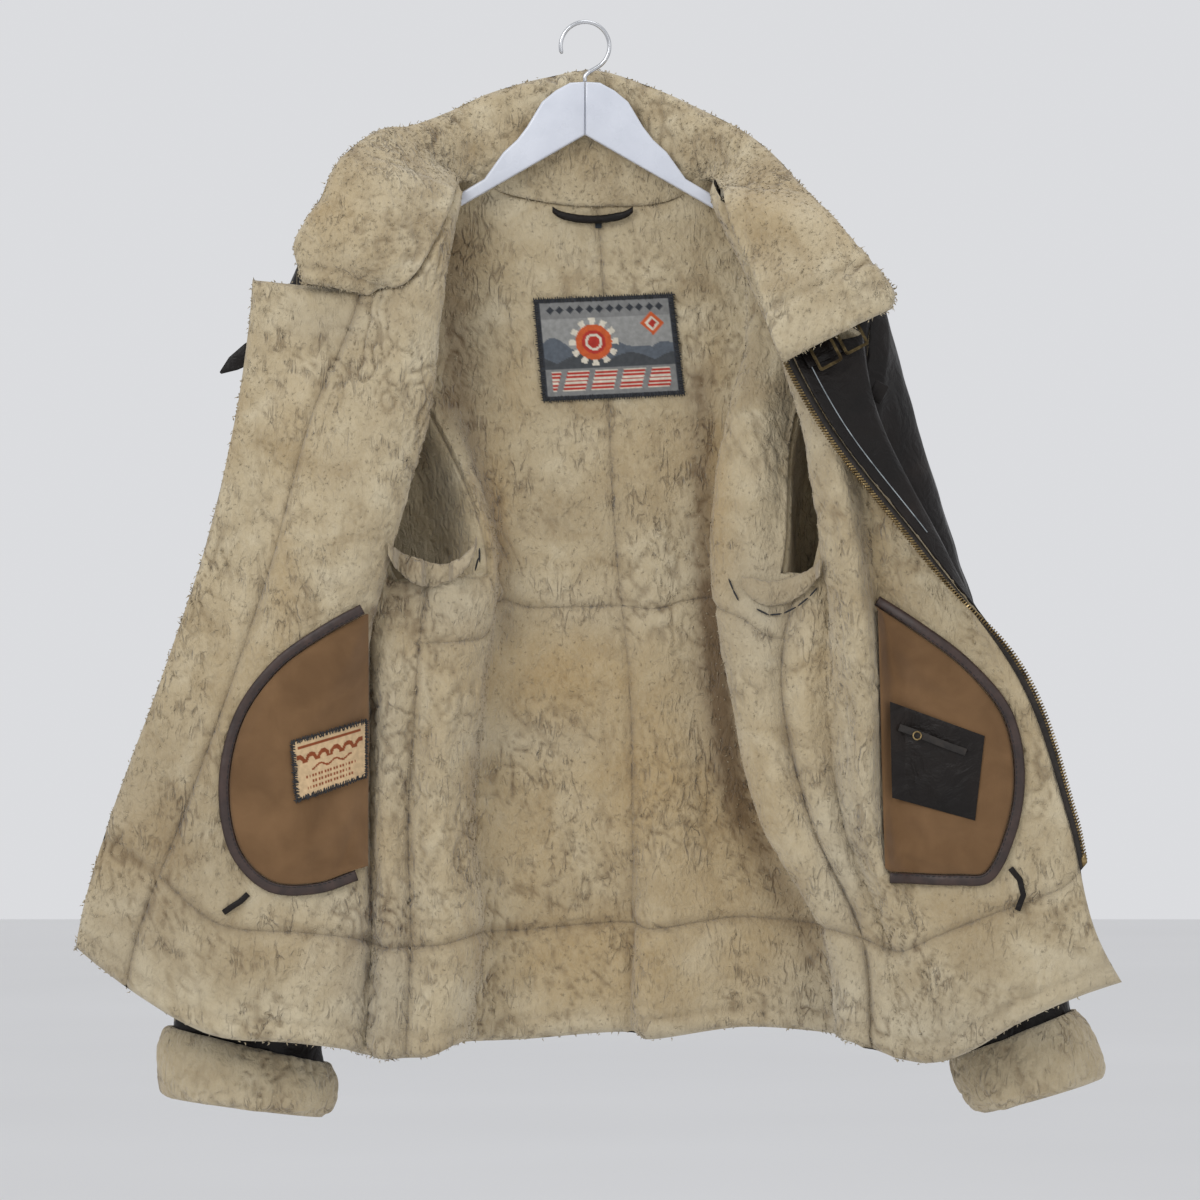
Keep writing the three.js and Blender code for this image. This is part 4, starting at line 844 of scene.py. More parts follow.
# %% Make the sleeves
cuff_rings = {}
for side, (down, up, rings) in SLEEVES.items():
    loop = armhole_loop(down, up)[::2]
    lengths = lengths_along(loop)
    turns = lengths / lengths[-1] * (1 - 1 / LOOP_SHARE) + 0.5 / LOOP_SHARE
    apart = [float(np.hypot(b[0] - a[0], b[1] - a[1])) for a, b in zip(rings, rings[1:])]
    steps = [max(2, round(length / (2 * GRID))) for length in apart]
    fine_rings = between_rows(rings, steps)
    net = np.array([oval_points(ring, turns) for ring in fine_rings])
    towards = net[0] - loop
    towards /= np.linalg.norm(towards, axis=1, keepdims=True)
    start = loop + towards * ARMHOLE_STEP * 0.3
    lead = [start + (net[0] - start) * t for t in (0.0, 0.25, 0.5, 0.75)]
    net = np.concatenate([np.array(lead), net])
    turn_table = np.tile(turns, (len(net), 1))
    if side == "left":
        net, turn_table = net[:, ::-1], turn_table[:, ::-1]
    out = -net_normals(net, closed=True)
    down_sleeve = np.linspace(0, 1, len(net))[:, None]
    wrinkle_size = (0.4 + 1.9 * np.exp(-((down_sleeve - 0.55) / 0.14) ** 2)
                    + 1.9 * np.exp(-((down_sleeve - 0.93) / 0.08) ** 2))
    wrinkles = np.array([noise.noise(Vector((x / 70, y / 70, (z + 0.35 * abs(x)) / 17)))
                         for x, y, z in net.reshape(-1, 3)])
    wrinkles = wrinkles.reshape(net.shape[:2]) * wrinkle_size * 1.8
    seam_line = 2.0 * (np.exp(-((turn_table - 0.5) / 0.012) ** 2) + np.exp(-(turn_table / 0.012) ** 2))
    outer = net + out * (SLEEVE_WALL / 2 + wrinkles - seam_line)[..., None]
    inner = net - out * (SLEEVE_WALL / 2 - wrinkles)[..., None]
    columns = net.shape[1]
    column_index = np.tile(np.arange(columns), (len(net) - 1, 1))
    middle_turn = (turn_table[:-1] + np.roll(turn_table, -1, axis=1)[:-1]) / 2
    is_front = middle_turn < 0.5
    is_front[:, -1] = False
    halves = (("front", is_front, (0.20, 0.62, 0.092)), ("back", ~is_front, (0.23, 0.64, 0.115)))
    for which, cells, size in halves:
        piece, used = grid_wall(f"shearling_sleeve_{side}_{which}", inner, outer, cells=cells, closed=True)
        joined(piece, "leather", hide, [f"sleeve_{side}_{which}"], size, "hung", HANGER)
        print(piece.name, "points", len(used))
    cuff_rings[side] = rings[-2:]

# %% [markdown]
# ## Cuffs
# Each cuff is the end of its sleeve turned back, so its fleece shows. It is a thick, soft ring.
# Its section is a closed curve, measured up the sleeve and out from it, and is carried round the
# sleeve's own ovals.

# %% Cuffs
CUFF_TOP, CUFF_FOOT, CUFF_GAP, CUFF_BULGE, CUFF_RIM = 0.02, 0.55, 1.4, 17.0, 4.0
CUFF_HEIGHT, CUFF_ROUND, CUFF_SECTION = 75.0, 380, 190
CUFF_SEAM_TURN = {"left": 0.31, "right": 0.28}


def round_curve(points, count):
    """A closed smooth curve through points, read at even distances."""
    points = np.array(points, float)
    dense = []
    for k in range(len(points)):
        p0, p1, p2, p3 = (points[(k + d) % len(points)] for d in (-1, 0, 1, 2))
        dense += [curve_between(p0, p1, p2, p3, t) for t in np.linspace(0, 1, 12, endpoint=False)]
    dense = np.array(dense + [points[0]])
    lengths = lengths_along(dense * np.array([CUFF_HEIGHT, 1.0]))
    at = np.linspace(0, lengths[-1], count, endpoint=False)
    return np.stack([np.interp(at, lengths, dense[:, k]) for k in (0, 1)], axis=1)


for side, (near, far) in cuff_rings.items():
    outside = SLEEVE_WALL / 2 + CUFF_GAP
    section = round_curve([(0.02, outside), (0.5, outside), (0.98, outside), (1, CUFF_RIM + outside),
                           (0.92, CUFF_BULGE - 3), (0.7, CUFF_BULGE), (0.35, CUFF_BULGE - 1),
                           (0.1, CUFF_BULGE - 5), (0, CUFF_RIM + outside)], round(CUFF_SECTION / GRID))
    turns = np.linspace(0, 1, round(CUFF_ROUND / GRID), endpoint=False)
    net = []
    for height, out in section:
        along = CUFF_TOP + (1 + CUFF_FOOT - CUFF_TOP) * height
        a, b = oval_points(near, turns, out), oval_points(far, turns, out)
        net.append(a + (b - a) * along)
    net = np.array(net).transpose(1, 0, 2)
    down = np.roll(net, -1, axis=1) - np.roll(net, 1, axis=1)
    round_way = np.roll(net, -1, axis=0) - np.roll(net, 1, axis=0)
    away = np.cross(down, round_way)
    away /= np.maximum(np.linalg.norm(away, axis=2, keepdims=True), 1e-9)
    core = net.mean(axis=1, keepdims=True)
    if np.sum(away * (net - core)) < 0:
        away = -away
    heights, painted_shade = wool(net.reshape(-1, 3), mound=3.4, curl=2.8, size=12.0)
    outer_face = soft_step(outside + 1, outside + 5, section[:, 1])[None, :]
    seam = groove((turns - CUFF_SEAM_TURN[side]) * CUFF_ROUND, 4.0, 2.6)[:, None]
    net = net + away * ((heights.reshape(net.shape[:2]) - seam) * outer_face)[..., None]
    piece = swept(f"shearling_cuff_{side}", net, closed=True)
    # painted shade in the clefts and the seam groove, on an even touch of gold and grey
    dark = np.clip(painted_shade.reshape(net.shape[:2]) * 0.5 + seam * 0.08, 0, 1).ravel()
    color_points(piece, "stain_and_shade", np.stack([np.full_like(dark, 0.2), np.full_like(dark, 0.15), dark], axis=-1))
    joined(piece, "fleece", fleece, [f"cuff_{side}"], (0.35, 0.08, 0.0275), "folded",
           [f"sleeve_{side}_front"])
    print(piece.name, "points", len(net) * net.shape[1])

# %% [markdown]
# ## Collar
# The collar is a deep band of fleece. It stands at the back of the neck and lies open on both
# shoulders. Each station along it has a point at the neck, a point on its free edge, and how far
# the fleece rolls forward between them.

# %% Collar
COLLAR_WALL, COLLAR_DEPTH, SEAM_OVERLAP, SIDE_DROP, CORNER_DROP = 12.0, 96, 4.0, 9.0, 5.0
COLLAR = [
    # neck edge, free edge, roll
    ((-189, -73, -228), (-239, -78, -225), 6), ((-168, -78, -220), (-247, -78, -193), 8),
    ((-150, -83, -213), (-236, -80, -170), 10), ((-131, -67, -186), (-224, -80, -152), 12),
    ((-116, -46, -153), (-213, -70, -126), 13), ((-112.5, -20, -132.5), (-196, -54, -106), 11),
    ((-109, 2, -123.5), (-173, -34, -91), 9), ((-97, 16, -121.5), (-152, -20, -88), 7),
    ((-74, 21, -134.5), (-120, 4, -76), 4), ((-38, 21.5, -145.6), (-82, 15, -58), 3),
    ((-4, 21.5, -150), (-32, 18, -44), 4), ((20, 22, -150.1), (8, 20, -38), 4),
    ((46, 22, -149.5), (50, 18, -50), 4), ((76, 21, -142), (98, 6, -72), 5),
    ((97, 17, -121), (138, -12, -94), 7), ((109, 2, -122.5), (166, -32, -118), 9),
    ((115, -22, -131.5), (186, -50, -142), 11), ((121, -58, -154), (208, -68, -166), 13),
    ((134, -66, -190), (232, -80, -194), 12), ((147, -86, -224), (252, -92, -216), 10),
    ((155, -98, -258), (262, -97, -234), 7), ((167, -105, -288), (259, -99, -247), 4),
]
stations = []
for k in range(len(COLLAR) - 1):
    def knot(n, which):
        return np.array(COLLAR[min(max(n, 0), len(COLLAR) - 1)][which], float)
    gap = max(np.linalg.norm(knot(k + 1, w) - knot(k, w)) for w in (0, 1))
    count = max(2, round(gap / GRID))
    for n in range(count):
        t = n / count
        ends = [across(knot(k - 1, w), knot(k, w), knot(k + 1, w), knot(k + 2, w), t) for w in (0, 1)]
        stations.append((ends[0], ends[1], COLLAR[k][2] + (COLLAR[k + 1][2] - COLLAR[k][2]) * t))
stations.append((knot(len(COLLAR), 0), knot(len(COLLAR), 1), COLLAR[-1][2]))
parts = np.linspace(0, 1, round(COLLAR_DEPTH / GRID))[:, None, None]
neck, free = (np.array([s[w] for s in stations])[None] for w in (0, 1))
roll = np.array([s[2] for s in stations])[None, :]
side_share = np.exp(-((abs(neck[..., :1]) - 106) / 14) ** 2) * (neck[..., 2:] > -140)
corner_share = np.exp(-((neck[..., :1] + 148) / 16) ** 2)
neck = neck + np.array([0.0, 0.0, -1.0]) * (
    SEAM_OVERLAP + SIDE_DROP * side_share + CORNER_DROP * corner_share)
collar_net = free + (neck - free) * parts
collar_net[..., 1] -= roll * np.sin(math.pi * parts[..., 0])
collar_out = net_normals(collar_net)
heights, painted_shade = wool(collar_net.reshape(-1, 3), mound=1.8, curl=1.9, size=12.0)
heights, painted_shade = heights.reshape(collar_net.shape[:2]), painted_shade.reshape(collar_net.shape[:2])
from_free, from_end = run_lengths(collar_net, 0), run_lengths(collar_net, 1)
rim = np.minimum(from_free, np.minimum(from_end * 1.6, from_end[:, [-1]] - from_end))
end_seam = groove(from_end[:, [-1]] - from_end - 46.0, 3.5, 2.6) + groove(from_end - 16.0, 3.0, 2.0)
collar_height = COLLAR_WALL / 2 + heights - end_seam - 8.5 * near_edge(rim, 11.0)
collar_wool = collar_net + collar_out * collar_height[..., None]
collar_hide = collar_net - collar_out * (COLLAR_WALL / 2 - 3.0 * near_edge(rim, 8.0))[..., None]
collar, used = grid_wall("shearling_collar", collar_wool, collar_hide,
                         uv=np.stack([from_end, -from_free], axis=-1))
# red and green: golden and grey stains; blue: painted shade in the clefts and the end seams
collar_stain_and_shade = np.stack([ovals(GOLD_AND_SHADE, collar_net), ovals(GREY, collar_net),
                         np.clip(painted_shade * 0.5 + end_seam * 0.08, 0, 1)], axis=-1)
paint(collar, "stain_and_shade", collar_stain_and_shade, used)
joined(collar, "fleece", hide, ["collar"], (0.80, 0.10, 0.0655), "folded", ["back_upper_left", "front_left"])
print(collar.name, "points", len(used))

# %% [markdown]
# ## Small pieces lie on what is under them
# A pocket bag or a label has to lie on the wool below it. A ray is sent from in front at each
# place, and the least depth near it is kept, so a piece bridges small hollows. Blurring that
# depth then gives cloth its smooth hang.

# %% Depth below a place
def tree_of(piece):
    return BVHTree.FromPolygons([v.co.copy() for v in piece.data.vertices],
                                [tuple(p.vertices) for p in piece.data.polygons])


def face_of(*pieces, reach=4.0):
    """A function from a place to the depth of the nearest face near it, in millimetres."""
    trees = [tree_of(piece) for piece in pieces]

    def depth(x, z):
        found = []
        for dx, dz in ((0, 0), (reach, 0), (-reach, 0), (0, reach), (0, -reach)):
            start = Vector(((x + dx) * MM, -0.5, (z + dz) * MM))
            hits = [tree.ray_cast(start, Vector((0, 1, 0)))[0] for tree in trees]
            found += [hit.y / MM for hit in hits if hit]
        return min(found) if found else None
    return depth


def depths_at(depth, xs, zs, blur):
    """Depths over a net of places, blurred; places off the face take the mean depth."""
    values = np.array([[depth(x, z) or np.nan for x, z in zip(*row)] for row in zip(xs, zs)])
    values = np.where(np.isnan(values), np.nanmean(values), values)
    for _ in range(blur):
        padded = np.pad(values, 1, mode="edge")
        values = (padded[:-2, 1:-1] + padded[2:, 1:-1] + padded[1:-1, :-2] + padded[1:-1, 2:]
                  + 2 * values) / 6
    return values


def lay(name, xs, zs, depths, lift, thickness, relief, uv=None):
    """A thin wall over a net of places, towards the viewer from the depths under it."""
    middle = depths - (lift + thickness / 2) - relief
    front = np.stack([xs, middle - thickness / 2, zs], axis=-1)
    back = np.stack([xs, middle + thickness / 2, zs], axis=-1)
    return grid_wall(name, front, back, uv=uv)


def depths_along(depth, places, blur):
    """Depths at a row of places, blurred along the row."""
    return depths_at(depth, np.stack([places[:, 0]] * 3), np.stack([places[:, 1]] * 3), blur)[1]


def even_curve(points, count):
    """Points at even distances along a smooth curve through points."""
    points = [np.array(p, float) for p in points]
    points = [2 * points[0] - points[1]] + points + [2 * points[-1] - points[-2]]
    dense = [across(*points[k:k + 4], t)
             for k in range(len(points) - 3) for t in np.linspace(0, 1, 24, endpoint=False)]
    dense = np.array(dense + [points[-2]])
    lengths = lengths_along(dense)
    at = np.linspace(0, lengths[-1], count)
    return np.stack([np.interp(at, lengths, dense[:, k]) for k in range(dense.shape[1])], axis=1)

# %% [markdown]
# ## Thread
# Every stitch is a short, thick thread with round ends. All the stitches of one seam are one
# mesh, made from a table of their middles, directions and lengths.

# %% Stitches
def stitches(name, places, ways, length, width, rise, slot="label_cloth"):
    """One mesh of stitches: middles and directions in millimetres, rise towards the viewer."""
    rings, sides = ((-0.5, 0.35), (-0.3, 0.95), (0.3, 0.95), (0.5, 0.35)), 6
    points, faces = [], []
    for place, way in zip(places, ways):
        way = np.array(way, float) / np.linalg.norm(way)
        up = np.array([0.0, -1.0, 0.0]) - way * (-way[1])
        up /= np.linalg.norm(up)
        across_way = np.cross(way, up)
        long = length * random.uniform(0.85, 1.15)
        first = len(points)
        for along, thick in rings:
            for s in range(sides):
                angle = 2 * math.pi * s / sides
                lift = rise * (1 - abs(along)) + width / 2 * thick * math.sin(angle)
                points.append(np.array(place) + way * along * long + up * lift
                              + across_way * width / 2 * thick * math.cos(angle))
        for r in range(len(rings) - 1):
            for s in range(sides):
                a, b = first + r * sides + s, first + r * sides + (s + 1) % sides
                faces.append((a, b, b + sides, a + sides))
        faces += [tuple(first + s for s in reversed(range(sides))),
                  tuple(first + (len(rings) - 1) * sides + s for s in range(sides))]
    return joined(solid(name, points, faces), slot, thread)

# %% [markdown]
# ## Pocket bags
# Each bag is brown cotton, hung from a straight side at the front and bound round its curve. It
# puffs a little in the middle, and soft folds cross it. The binding is folded leather, so its
# roll has short slanting puckers, and a row of stitches holds its inner edge.

# %% Pocket bags and bindings
BINDING_WIDTH, BINDING_THICKNESS, BAG_WALL, BAG_LIFT, BAG_PUFF = 9.0, 4.5, 2.0, 0.8, 5.0
BINDING_SEAM = 7.4
# side: panel under it, ends of its straight side, outline, folds as [x, z, x, z, half width, height]
POCKETS = {
    "left": ("front_left", ((-183, -504), (-184, -718)),
             [(-190, -496), (-221, -513), (-264, -544), (-297, -590), (-310, -651), (-299, -709),
              (-268, -739), (-226, -741), (-192, -730)],
             [(-190, -530, -262, -640, 8, 1.8), (-188, -590, -290, -700, 7, -1.3),
              (-230, -530, -296, -620, 7, 1.2), (-190, -670, -262, -725, 8, 1.6),
              (-225, -640, -240, -735, 6, 1.3), (-186, -655, -210, -728, 5, -1.2)]),
    "right": ("front_right", ((248, -500), (254, -719)),
              [(250, -489), (281, -509), (327, -544), (361, -586), (372, -636), (365, -689), (343, -731),
               (314, -734), (258, -732)],
              [(256, -530, 330, -585, 8, 1.6), (262, -690, 350, -700, 8, -1.4),
               (258, -700, 330, -728, 6, 1.5), (345, -600, 352, -690, 7, 1.2),
               (254, -552, 300, -575, 6, -1.2)]),
}
bags = {}
for side, (panel, hinge, outline, folds) in POCKETS.items():
    under = face_of(panels[panel])
    places = even_curve(outline, round(560 / GRID / 1.15))
    ahead = np.gradient(places, axis=0)
    inwards = np.stack([-ahead[:, 1], ahead[:, 0]], axis=1)
    inwards /= np.linalg.norm(inwards, axis=1, keepdims=True)
    centre = np.mean(hinge, axis=0)
    inwards *= np.sign(np.sum(inwards * (centre - places), axis=1))[:, None]

    part = np.linspace(0, 1, round(130 / GRID))[:, None, None]
    k = np.linspace(0, 1, len(places))[None, :, None]
    hinge_line = np.array(hinge[0]) + (np.array(hinge[1]) - np.array(hinge[0])) * k
    rim = places + inwards * (BINDING_WIDTH + 0.5)
    net = hinge_line + (rim[None] - hinge_line) * part
    xs, zs = net[..., 0], net[..., 1]
    fullness = np.sin(math.pi * part[..., 0]) * np.sin(math.pi * k[..., 0])
    spots = np.stack([xs, np.zeros_like(xs), zs], axis=-1)
    folded = sum(row[5] * beside(spots, *row[:5]) for row in folds)
    relief = BAG_PUFF * fullness + folded * np.clip(fullness * 3, 0, 1)
    bag, used = lay("bag_" + side, xs, zs, depths_at(under, xs, zs, 14), BAG_LIFT, BAG_WALL, relief,
                    uv=np.stack([xs, zs], axis=-1))
    bags[side] = joined(bag, "pocket_cotton", cotton, ["pocket_bag_" + side], (0.12, 0.23), "hung",
                        [panels[panel].name])

    rings = []
    base = depths_along(under, places, 8)
    for n, (place, inward) in enumerate(zip(places, inwards)):
        ring = []
        for angle in circle(12):
            u = BINDING_WIDTH / 2 * (1 - math.cos(angle))
            lift = BINDING_THICKNESS / 2 * (1 + np.sign(math.sin(angle)) * abs(math.sin(angle)) ** 0.7)
            pucker = 0.45 * noise.noise(Vector((n * 0.6 + u * 0.35, u / 9.0, 3.0))) * max(math.sin(angle), 0)
            spot = place + inward * u
            ring.append((spot[0], base[n] - BAG_LIFT - lift - pucker, spot[1]))
        rings.append(ring)
    joined(swept("binding_" + side, rings), "binding", binding, ["pocket_binding_" + side],
           (0.0105, 0.50), "folded", ["bag_" + side])
    seam = [(*(p + i * BINDING_SEAM), b) for p, i, b in zip(places, inwards, base)][1:-1:2]
    spots = [(x, b - BAG_LIFT - BINDING_THICKNESS * 0.94, z) for x, z, b in seam]
    ways = [(a[0], 0, a[1]) for a in ahead[1:-1:2]]
    stitches("binding_stitches_" + side, spots, ways, 3.2, 0.7, 0.25, slot="binding")
print("bags", [len(bag.data.polygons) for bag in bags.values()])

# %% [markdown]
# ## Printed cloth
# The patch and the label are dense nets, so a pattern can be painted on their points by formula.
# Both patterns are plain geometry: a sun, hills, stripes and diamonds on the patch, and rules,
# arches and dots on the label. Round each runs an overlocked edge of dark thread.

# %% Patch and label
def quad_net(corners, step):
    top_left, top_right, low_right, low_left = (np.array(c, float) for c in corners)
    wide = round(np.linalg.norm(top_right - top_left) / step)
    high = round(np.linalg.norm(low_left - top_left) / step)
    u = np.linspace(0, 1, wide + 1)[None, :, None]
    v = np.linspace(0, 1, high + 1)[:, None, None]
    net = (top_left * (1 - u) + top_right * u) * (1 - v) + (low_left * (1 - u) + low_right * u) * v
    return net, np.broadcast_to(u[..., 0], net.shape[:2]), np.broadcast_to(v[..., 0], net.shape[:2])


def from_rim(u, v):
    return np.minimum(np.minimum(u * 1.3, (1 - u) * 1.3), np.minimum(v, 1 - v))


def patch_print(u, v):
    """Colours of the patch's pattern at parts u across and v down."""
    colors = np.zeros(u.shape + (3,)) + (0.20, 0.20, 0.195)
    ink, pale, blue = (0.035, 0.038, 0.045), (0.62, 0.57, 0.47), (0.10, 0.115, 0.135)
    orange, red = (0.52, 0.10, 0.03), (0.40, 0.035, 0.025)
    colors[(v > 0.2) & (v < 0.62)] = (0.27, 0.27, 0.26)
    diamonds = abs((u * 14) % 1 - 0.5) + abs((v - 0.115) * 10) < 0.42
    colors[diamonds & (u > 0.07) & (u < 0.93)] = ink
    hills = v > 0.56 - 0.13 * abs(np.sin(u * 7.0 + 0.6)) - 0.05 * np.sin(u * 17)
    colors[hills & (v < 0.70)] = blue
    hills = v > 0.64 - 0.08 * abs(np.sin(u * 9.0 + 2.0))
    colors[hills & (v < 0.70)] = (0.06, 0.065, 0.07)
    across_sun, down_sun = (u - 0.40) * 1.35, v - 0.44
    reach, turn = np.hypot(across_sun, down_sun), np.arctan2(down_sun, across_sun)
    colors[(reach < 0.235) & (np.cos(turn * 12) > -0.1) & (v < 0.70)] = pale
    colors[(reach < 0.175) & (v < 0.70)] = orange
    colors[(reach < 0.115) & (v < 0.70)] = red
    colors[(abs(reach - 0.07) < 0.012) & (v < 0.70)] = pale
    shield = abs(u - 0.83) * 1.4 + abs(v - 0.28)
    colors[shield < 0.12] = orange
    colors[shield < 0.075] = pale
    colors[shield < 0.045] = red
    stripes = (v > 0.72) & (v < 0.91) & (u > 0.08) & (u < 0.92)
    wedge = ((u * 5 + (v - 0.7) * 1.2) % 1) < 0.78
    colors[stripes & wedge] = pale
    colors[stripes & wedge & ((v * 26) % 1 < 0.5)] = red
    colors[from_rim(u, v) < 0.045] = ink
    return colors


def label_print(u, v):
    """Colours of the label's pattern."""
    colors = np.zeros(u.shape + (3,)) + (0.60, 0.43, 0.25)
    rust = (0.24, 0.06, 0.02)
    colors[(abs(v - 0.14) < 0.02) & (u > 0.08) & (u < 0.92)] = rust
    arch = abs(np.hypot((u * 6) % 1 - 0.5, (0.42 - v) * 3.2) - 0.40) < 0.12
    colors[arch & (v > 0.2) & (v < 0.42) & (u > 0.05) & (u < 0.95)] = rust
    wave = abs(v - 0.52 - 0.03 * np.sin(u * 30)) < 0.018
    colors[wave & (u > 0.25) & (u < 0.8)] = rust
    for line, first, last in ((0.66, 0.15, 0.85), (0.75, 0.22, 0.78), (0.84, 0.18, 0.82)):
        dots = (abs(v - line) < 0.02) & ((u * 24) % 1 < 0.55) & (u > first) & (u < last)
        colors[dots] = rust
    colors[from_rim(u, v) < 0.03] = (0.05, 0.035, 0.03)
    return colors


# name, node, slot, corners, step, thickness, lift, pattern, what is under it, flat size
PRINTS = [
    ("printed_patch", "back_patch", "patch_cloth", [(-44, -235), (75, -230), (85, -316), (-36, -322)],
     1.0, 1.5, 0.8, patch_print, (panels["back_upper_left"], panels["back_upper_right"]), (0.12, 0.088)),
    ("printed_label", "maker_label", "label_cloth", [(-248, -612), (-185, -594), (-185, -642), (-244, -663)],
     0.8, 1.0, 0.4, label_print, (bags["left"],), (0.064, 0.05)),
]
for name, node, slot, corners, step, thickness, lift, pattern, below, flat in PRINTS:
    net, u, v = quad_net(corners, step * (1))
    xs, zs = net[..., 0], net[..., 1]
    ripple = 0.5 * np.sin(u * 9 + v * 5) * np.sin(v * 6)
    depths = depths_at(face_of(*below), xs, zs, 30)
    piece, used = lay(name, xs, zs, depths, lift, thickness, ripple)
    paint(piece, "print", pattern(u, v), used)
    joined(piece, slot, printed, [node], flat, "laid", [p.name for p in below])
    high, wide = net.shape[:2]
    border = ([(0, i) for i in range(wide)] + [(j, wide - 1) for j in range(1, high)]
              + [(high - 1, i) for i in range(wide - 2, -1, -1)] + [(j, 0) for j in range(high - 2, 0, -1)])
    spots, ways = [], []
    middle = net.mean(axis=(0, 1))
    for j, i in border[::2]:
        place = net[j, i] + random.uniform(-0.5, 0.5)
        inward = (middle - place) * ((0, 1) if j in (0, high - 1) else (1, 0)) + random.uniform(-9, 9)
        inward = inward / np.linalg.norm(inward)
        top = depths[j, i] - lift - thickness - ripple[j, i] - 0.1
        spots.append((place[0] + inward[0], top, place[1] + inward[1]))
        ways.append((inward[0], 0, inward[1]))
    stitches(name + "_overlock", spots, ways, 5.0, 1.15, 0.3)
print("prints", [row[0] for row in PRINTS])

# %% [markdown]
# ## Leather trims, straps and metal
# These keep the imported solid's own form. Each one is copied; the trims and buckles have their
# corners rounded with a bevel, and the trims are divided and most are rippled a little, so that
# they stop looking stamped. The hanger is only copied and tidied.

# %% Finer copies of small solids
def pick_only(piece):
    bpy.ops.object.select_all(action="DESELECT")
    piece.select_set(True)
    bpy.context.view_layer.objects.active = piece


def finer(node, finish, slot, bevel=0.5, cuts=1, ripple=0.25, segments=2, flat=None, held="laid", on=()):
    source = bpy.data.objects[node]
    mesh = source.data.copy()
    mesh.transform(source.matrix_world)
    mesh.materials.clear()
    piece = bpy.data.objects.new("fine_" + node, mesh)
    bpy.context.collection.objects.link(piece)
    pick_only(piece)
    bpy.ops.object.mode_set(mode="EDIT")
    bpy.ops.mesh.select_all(action="SELECT")
    bpy.ops.mesh.remove_doubles(threshold=1e-5)
    bpy.ops.mesh.dissolve_limited(angle_limit=0.02)
    bpy.ops.object.mode_set(mode="OBJECT")
    if bevel:
        rounding = piece.modifiers.new("round", "BEVEL")
        rounding.width = bevel * MM
        rounding.segments = segments
        rounding.limit_method = "ANGLE"
        rounding.angle_limit = math.radians(35)
        bpy.ops.object.modifier_apply(modifier="round")
    bpy.ops.object.mode_set(mode="EDIT")
    bpy.ops.mesh.select_all(action="SELECT")
    bpy.ops.mesh.quads_convert_to_tris()
    bpy.ops.mesh.tris_convert_to_quads()
    if cuts:
        bpy.ops.mesh.subdivide(number_cuts=cuts)
    bpy.ops.mesh.normals_make_consistent(inside=False)
    bpy.ops.object.mode_set(mode="OBJECT")
    if ripple:
        for vertex in piece.data.vertices:
            place = vertex.co / MM
            vertex.co.y += ripple * MM * noise.noise(place / 7.0)
    bpy.ops.object.shade_smooth_by_angle(angle=math.radians(40))
    return joined(piece, slot, finish, [node], flat, held, on)


# node, finish, slot, bevel, cuts, ripple, flat size, how held, what it lies on
TRIMS = [
    ("pocket_corner_right", leather, "leather", 0.4, 3, 0.5, (0.082, 0.075), "laid", ["bag_right"]),
    ("pocket_zip_right", tape, "zip_tape", 0.3, 1, 0.0, (0.06, 0.008), "laid", ["bag_right"]),
    ("pocket_tie_left", leather, "leather", 0.6, 2, 0.4, (0.027, 0.007), "hung", ["shearling_front_left"]),
    ("pocket_tie_right", leather, "leather", 0.6, 2, 0.4, (0.041, 0.007), "hung", ["shearling_front_right"]),
    ("outer_welt_left", leather, "leather", 0.8, 2, 0.4, (0.127, 0.0265), "laid", ["shearling_front_left"]),
    ("outer_welt_right", leather, "leather", 0.8, 2, 0.4, (0.109, 0.0265), "laid", ["shearling_front_right"]),
    ("throat_strap_right", leather, "leather", 0.7, 2, 0.3, (0.033, 0.018), "folded",
     ["shearling_front_right"]),
    ("throat_strap_left", leather, "leather", 0.7, 2, 0.4, (0.082, 0.019), "laid", ["shearling_wind_flap"]),
    ("throat_tab_right", leather, "leather", 0.7, 2, 0.2, (0.0165, 0.02), "laid", ["shearling_front_right"]),
    ("size_tab", printed, "label_cloth", 0.15, 2, 0.1, (0.008, 0.012), "laid",
     ["shearling_back_upper_right"]),
]
for node, finish, slot, bevel, cuts, ripple, flat, held, on in TRIMS:
    piece = finer(node, finish, slot, bevel, cuts, ripple, flat=flat, held=held, on=on)
    if finish is printed:
        color_points(piece, "print", (0.03, 0.035, 0.04))
for node in ("buckle_lower", "buckle_upper"):
    finer(node, old_brass, "brass", 0.6, 0, 0.0, segments=4)
for node in HANGER:
    finer(node, paint_white, "painted_wood", 0.0, 0, 0.0)
bpy.ops.object.select_all(action="DESELECT")
bpy.ops.mesh.primitive_torus_add(location=(0.0, 0.0, 0.0), major_radius=3.4 * MM, minor_radius=0.7 * MM,
                                 major_segments=28, minor_segments=10)
puller = bpy.context.active_object
puller.name = "zip_puller_ring"
zip_face = face_of(bpy.data.objects["fine_pocket_zip_right"], bpy.data.objects["fine_pocket_corner_right"],
                   reach=2.0)
puller_x, puller_z = 281, -607
puller.data.transform(Matrix.Rotation(math.radians(78), 4, "X"))
puller.data.transform(Matrix.Translation(
    Vector((puller_x, zip_face(puller_x, puller_z) - 1.2, puller_z)) * MM))
puller.data.polygons.foreach_set("use_smooth", np.ones(len(puller.data.polygons), bool))
joined(puller, "brass", brass)
print("trims", len(TRIMS))

# %% [markdown]
# The hanging loop is a soft leather roll, and the hook is a smooth wire. Both are swept along
# their own paths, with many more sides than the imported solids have.

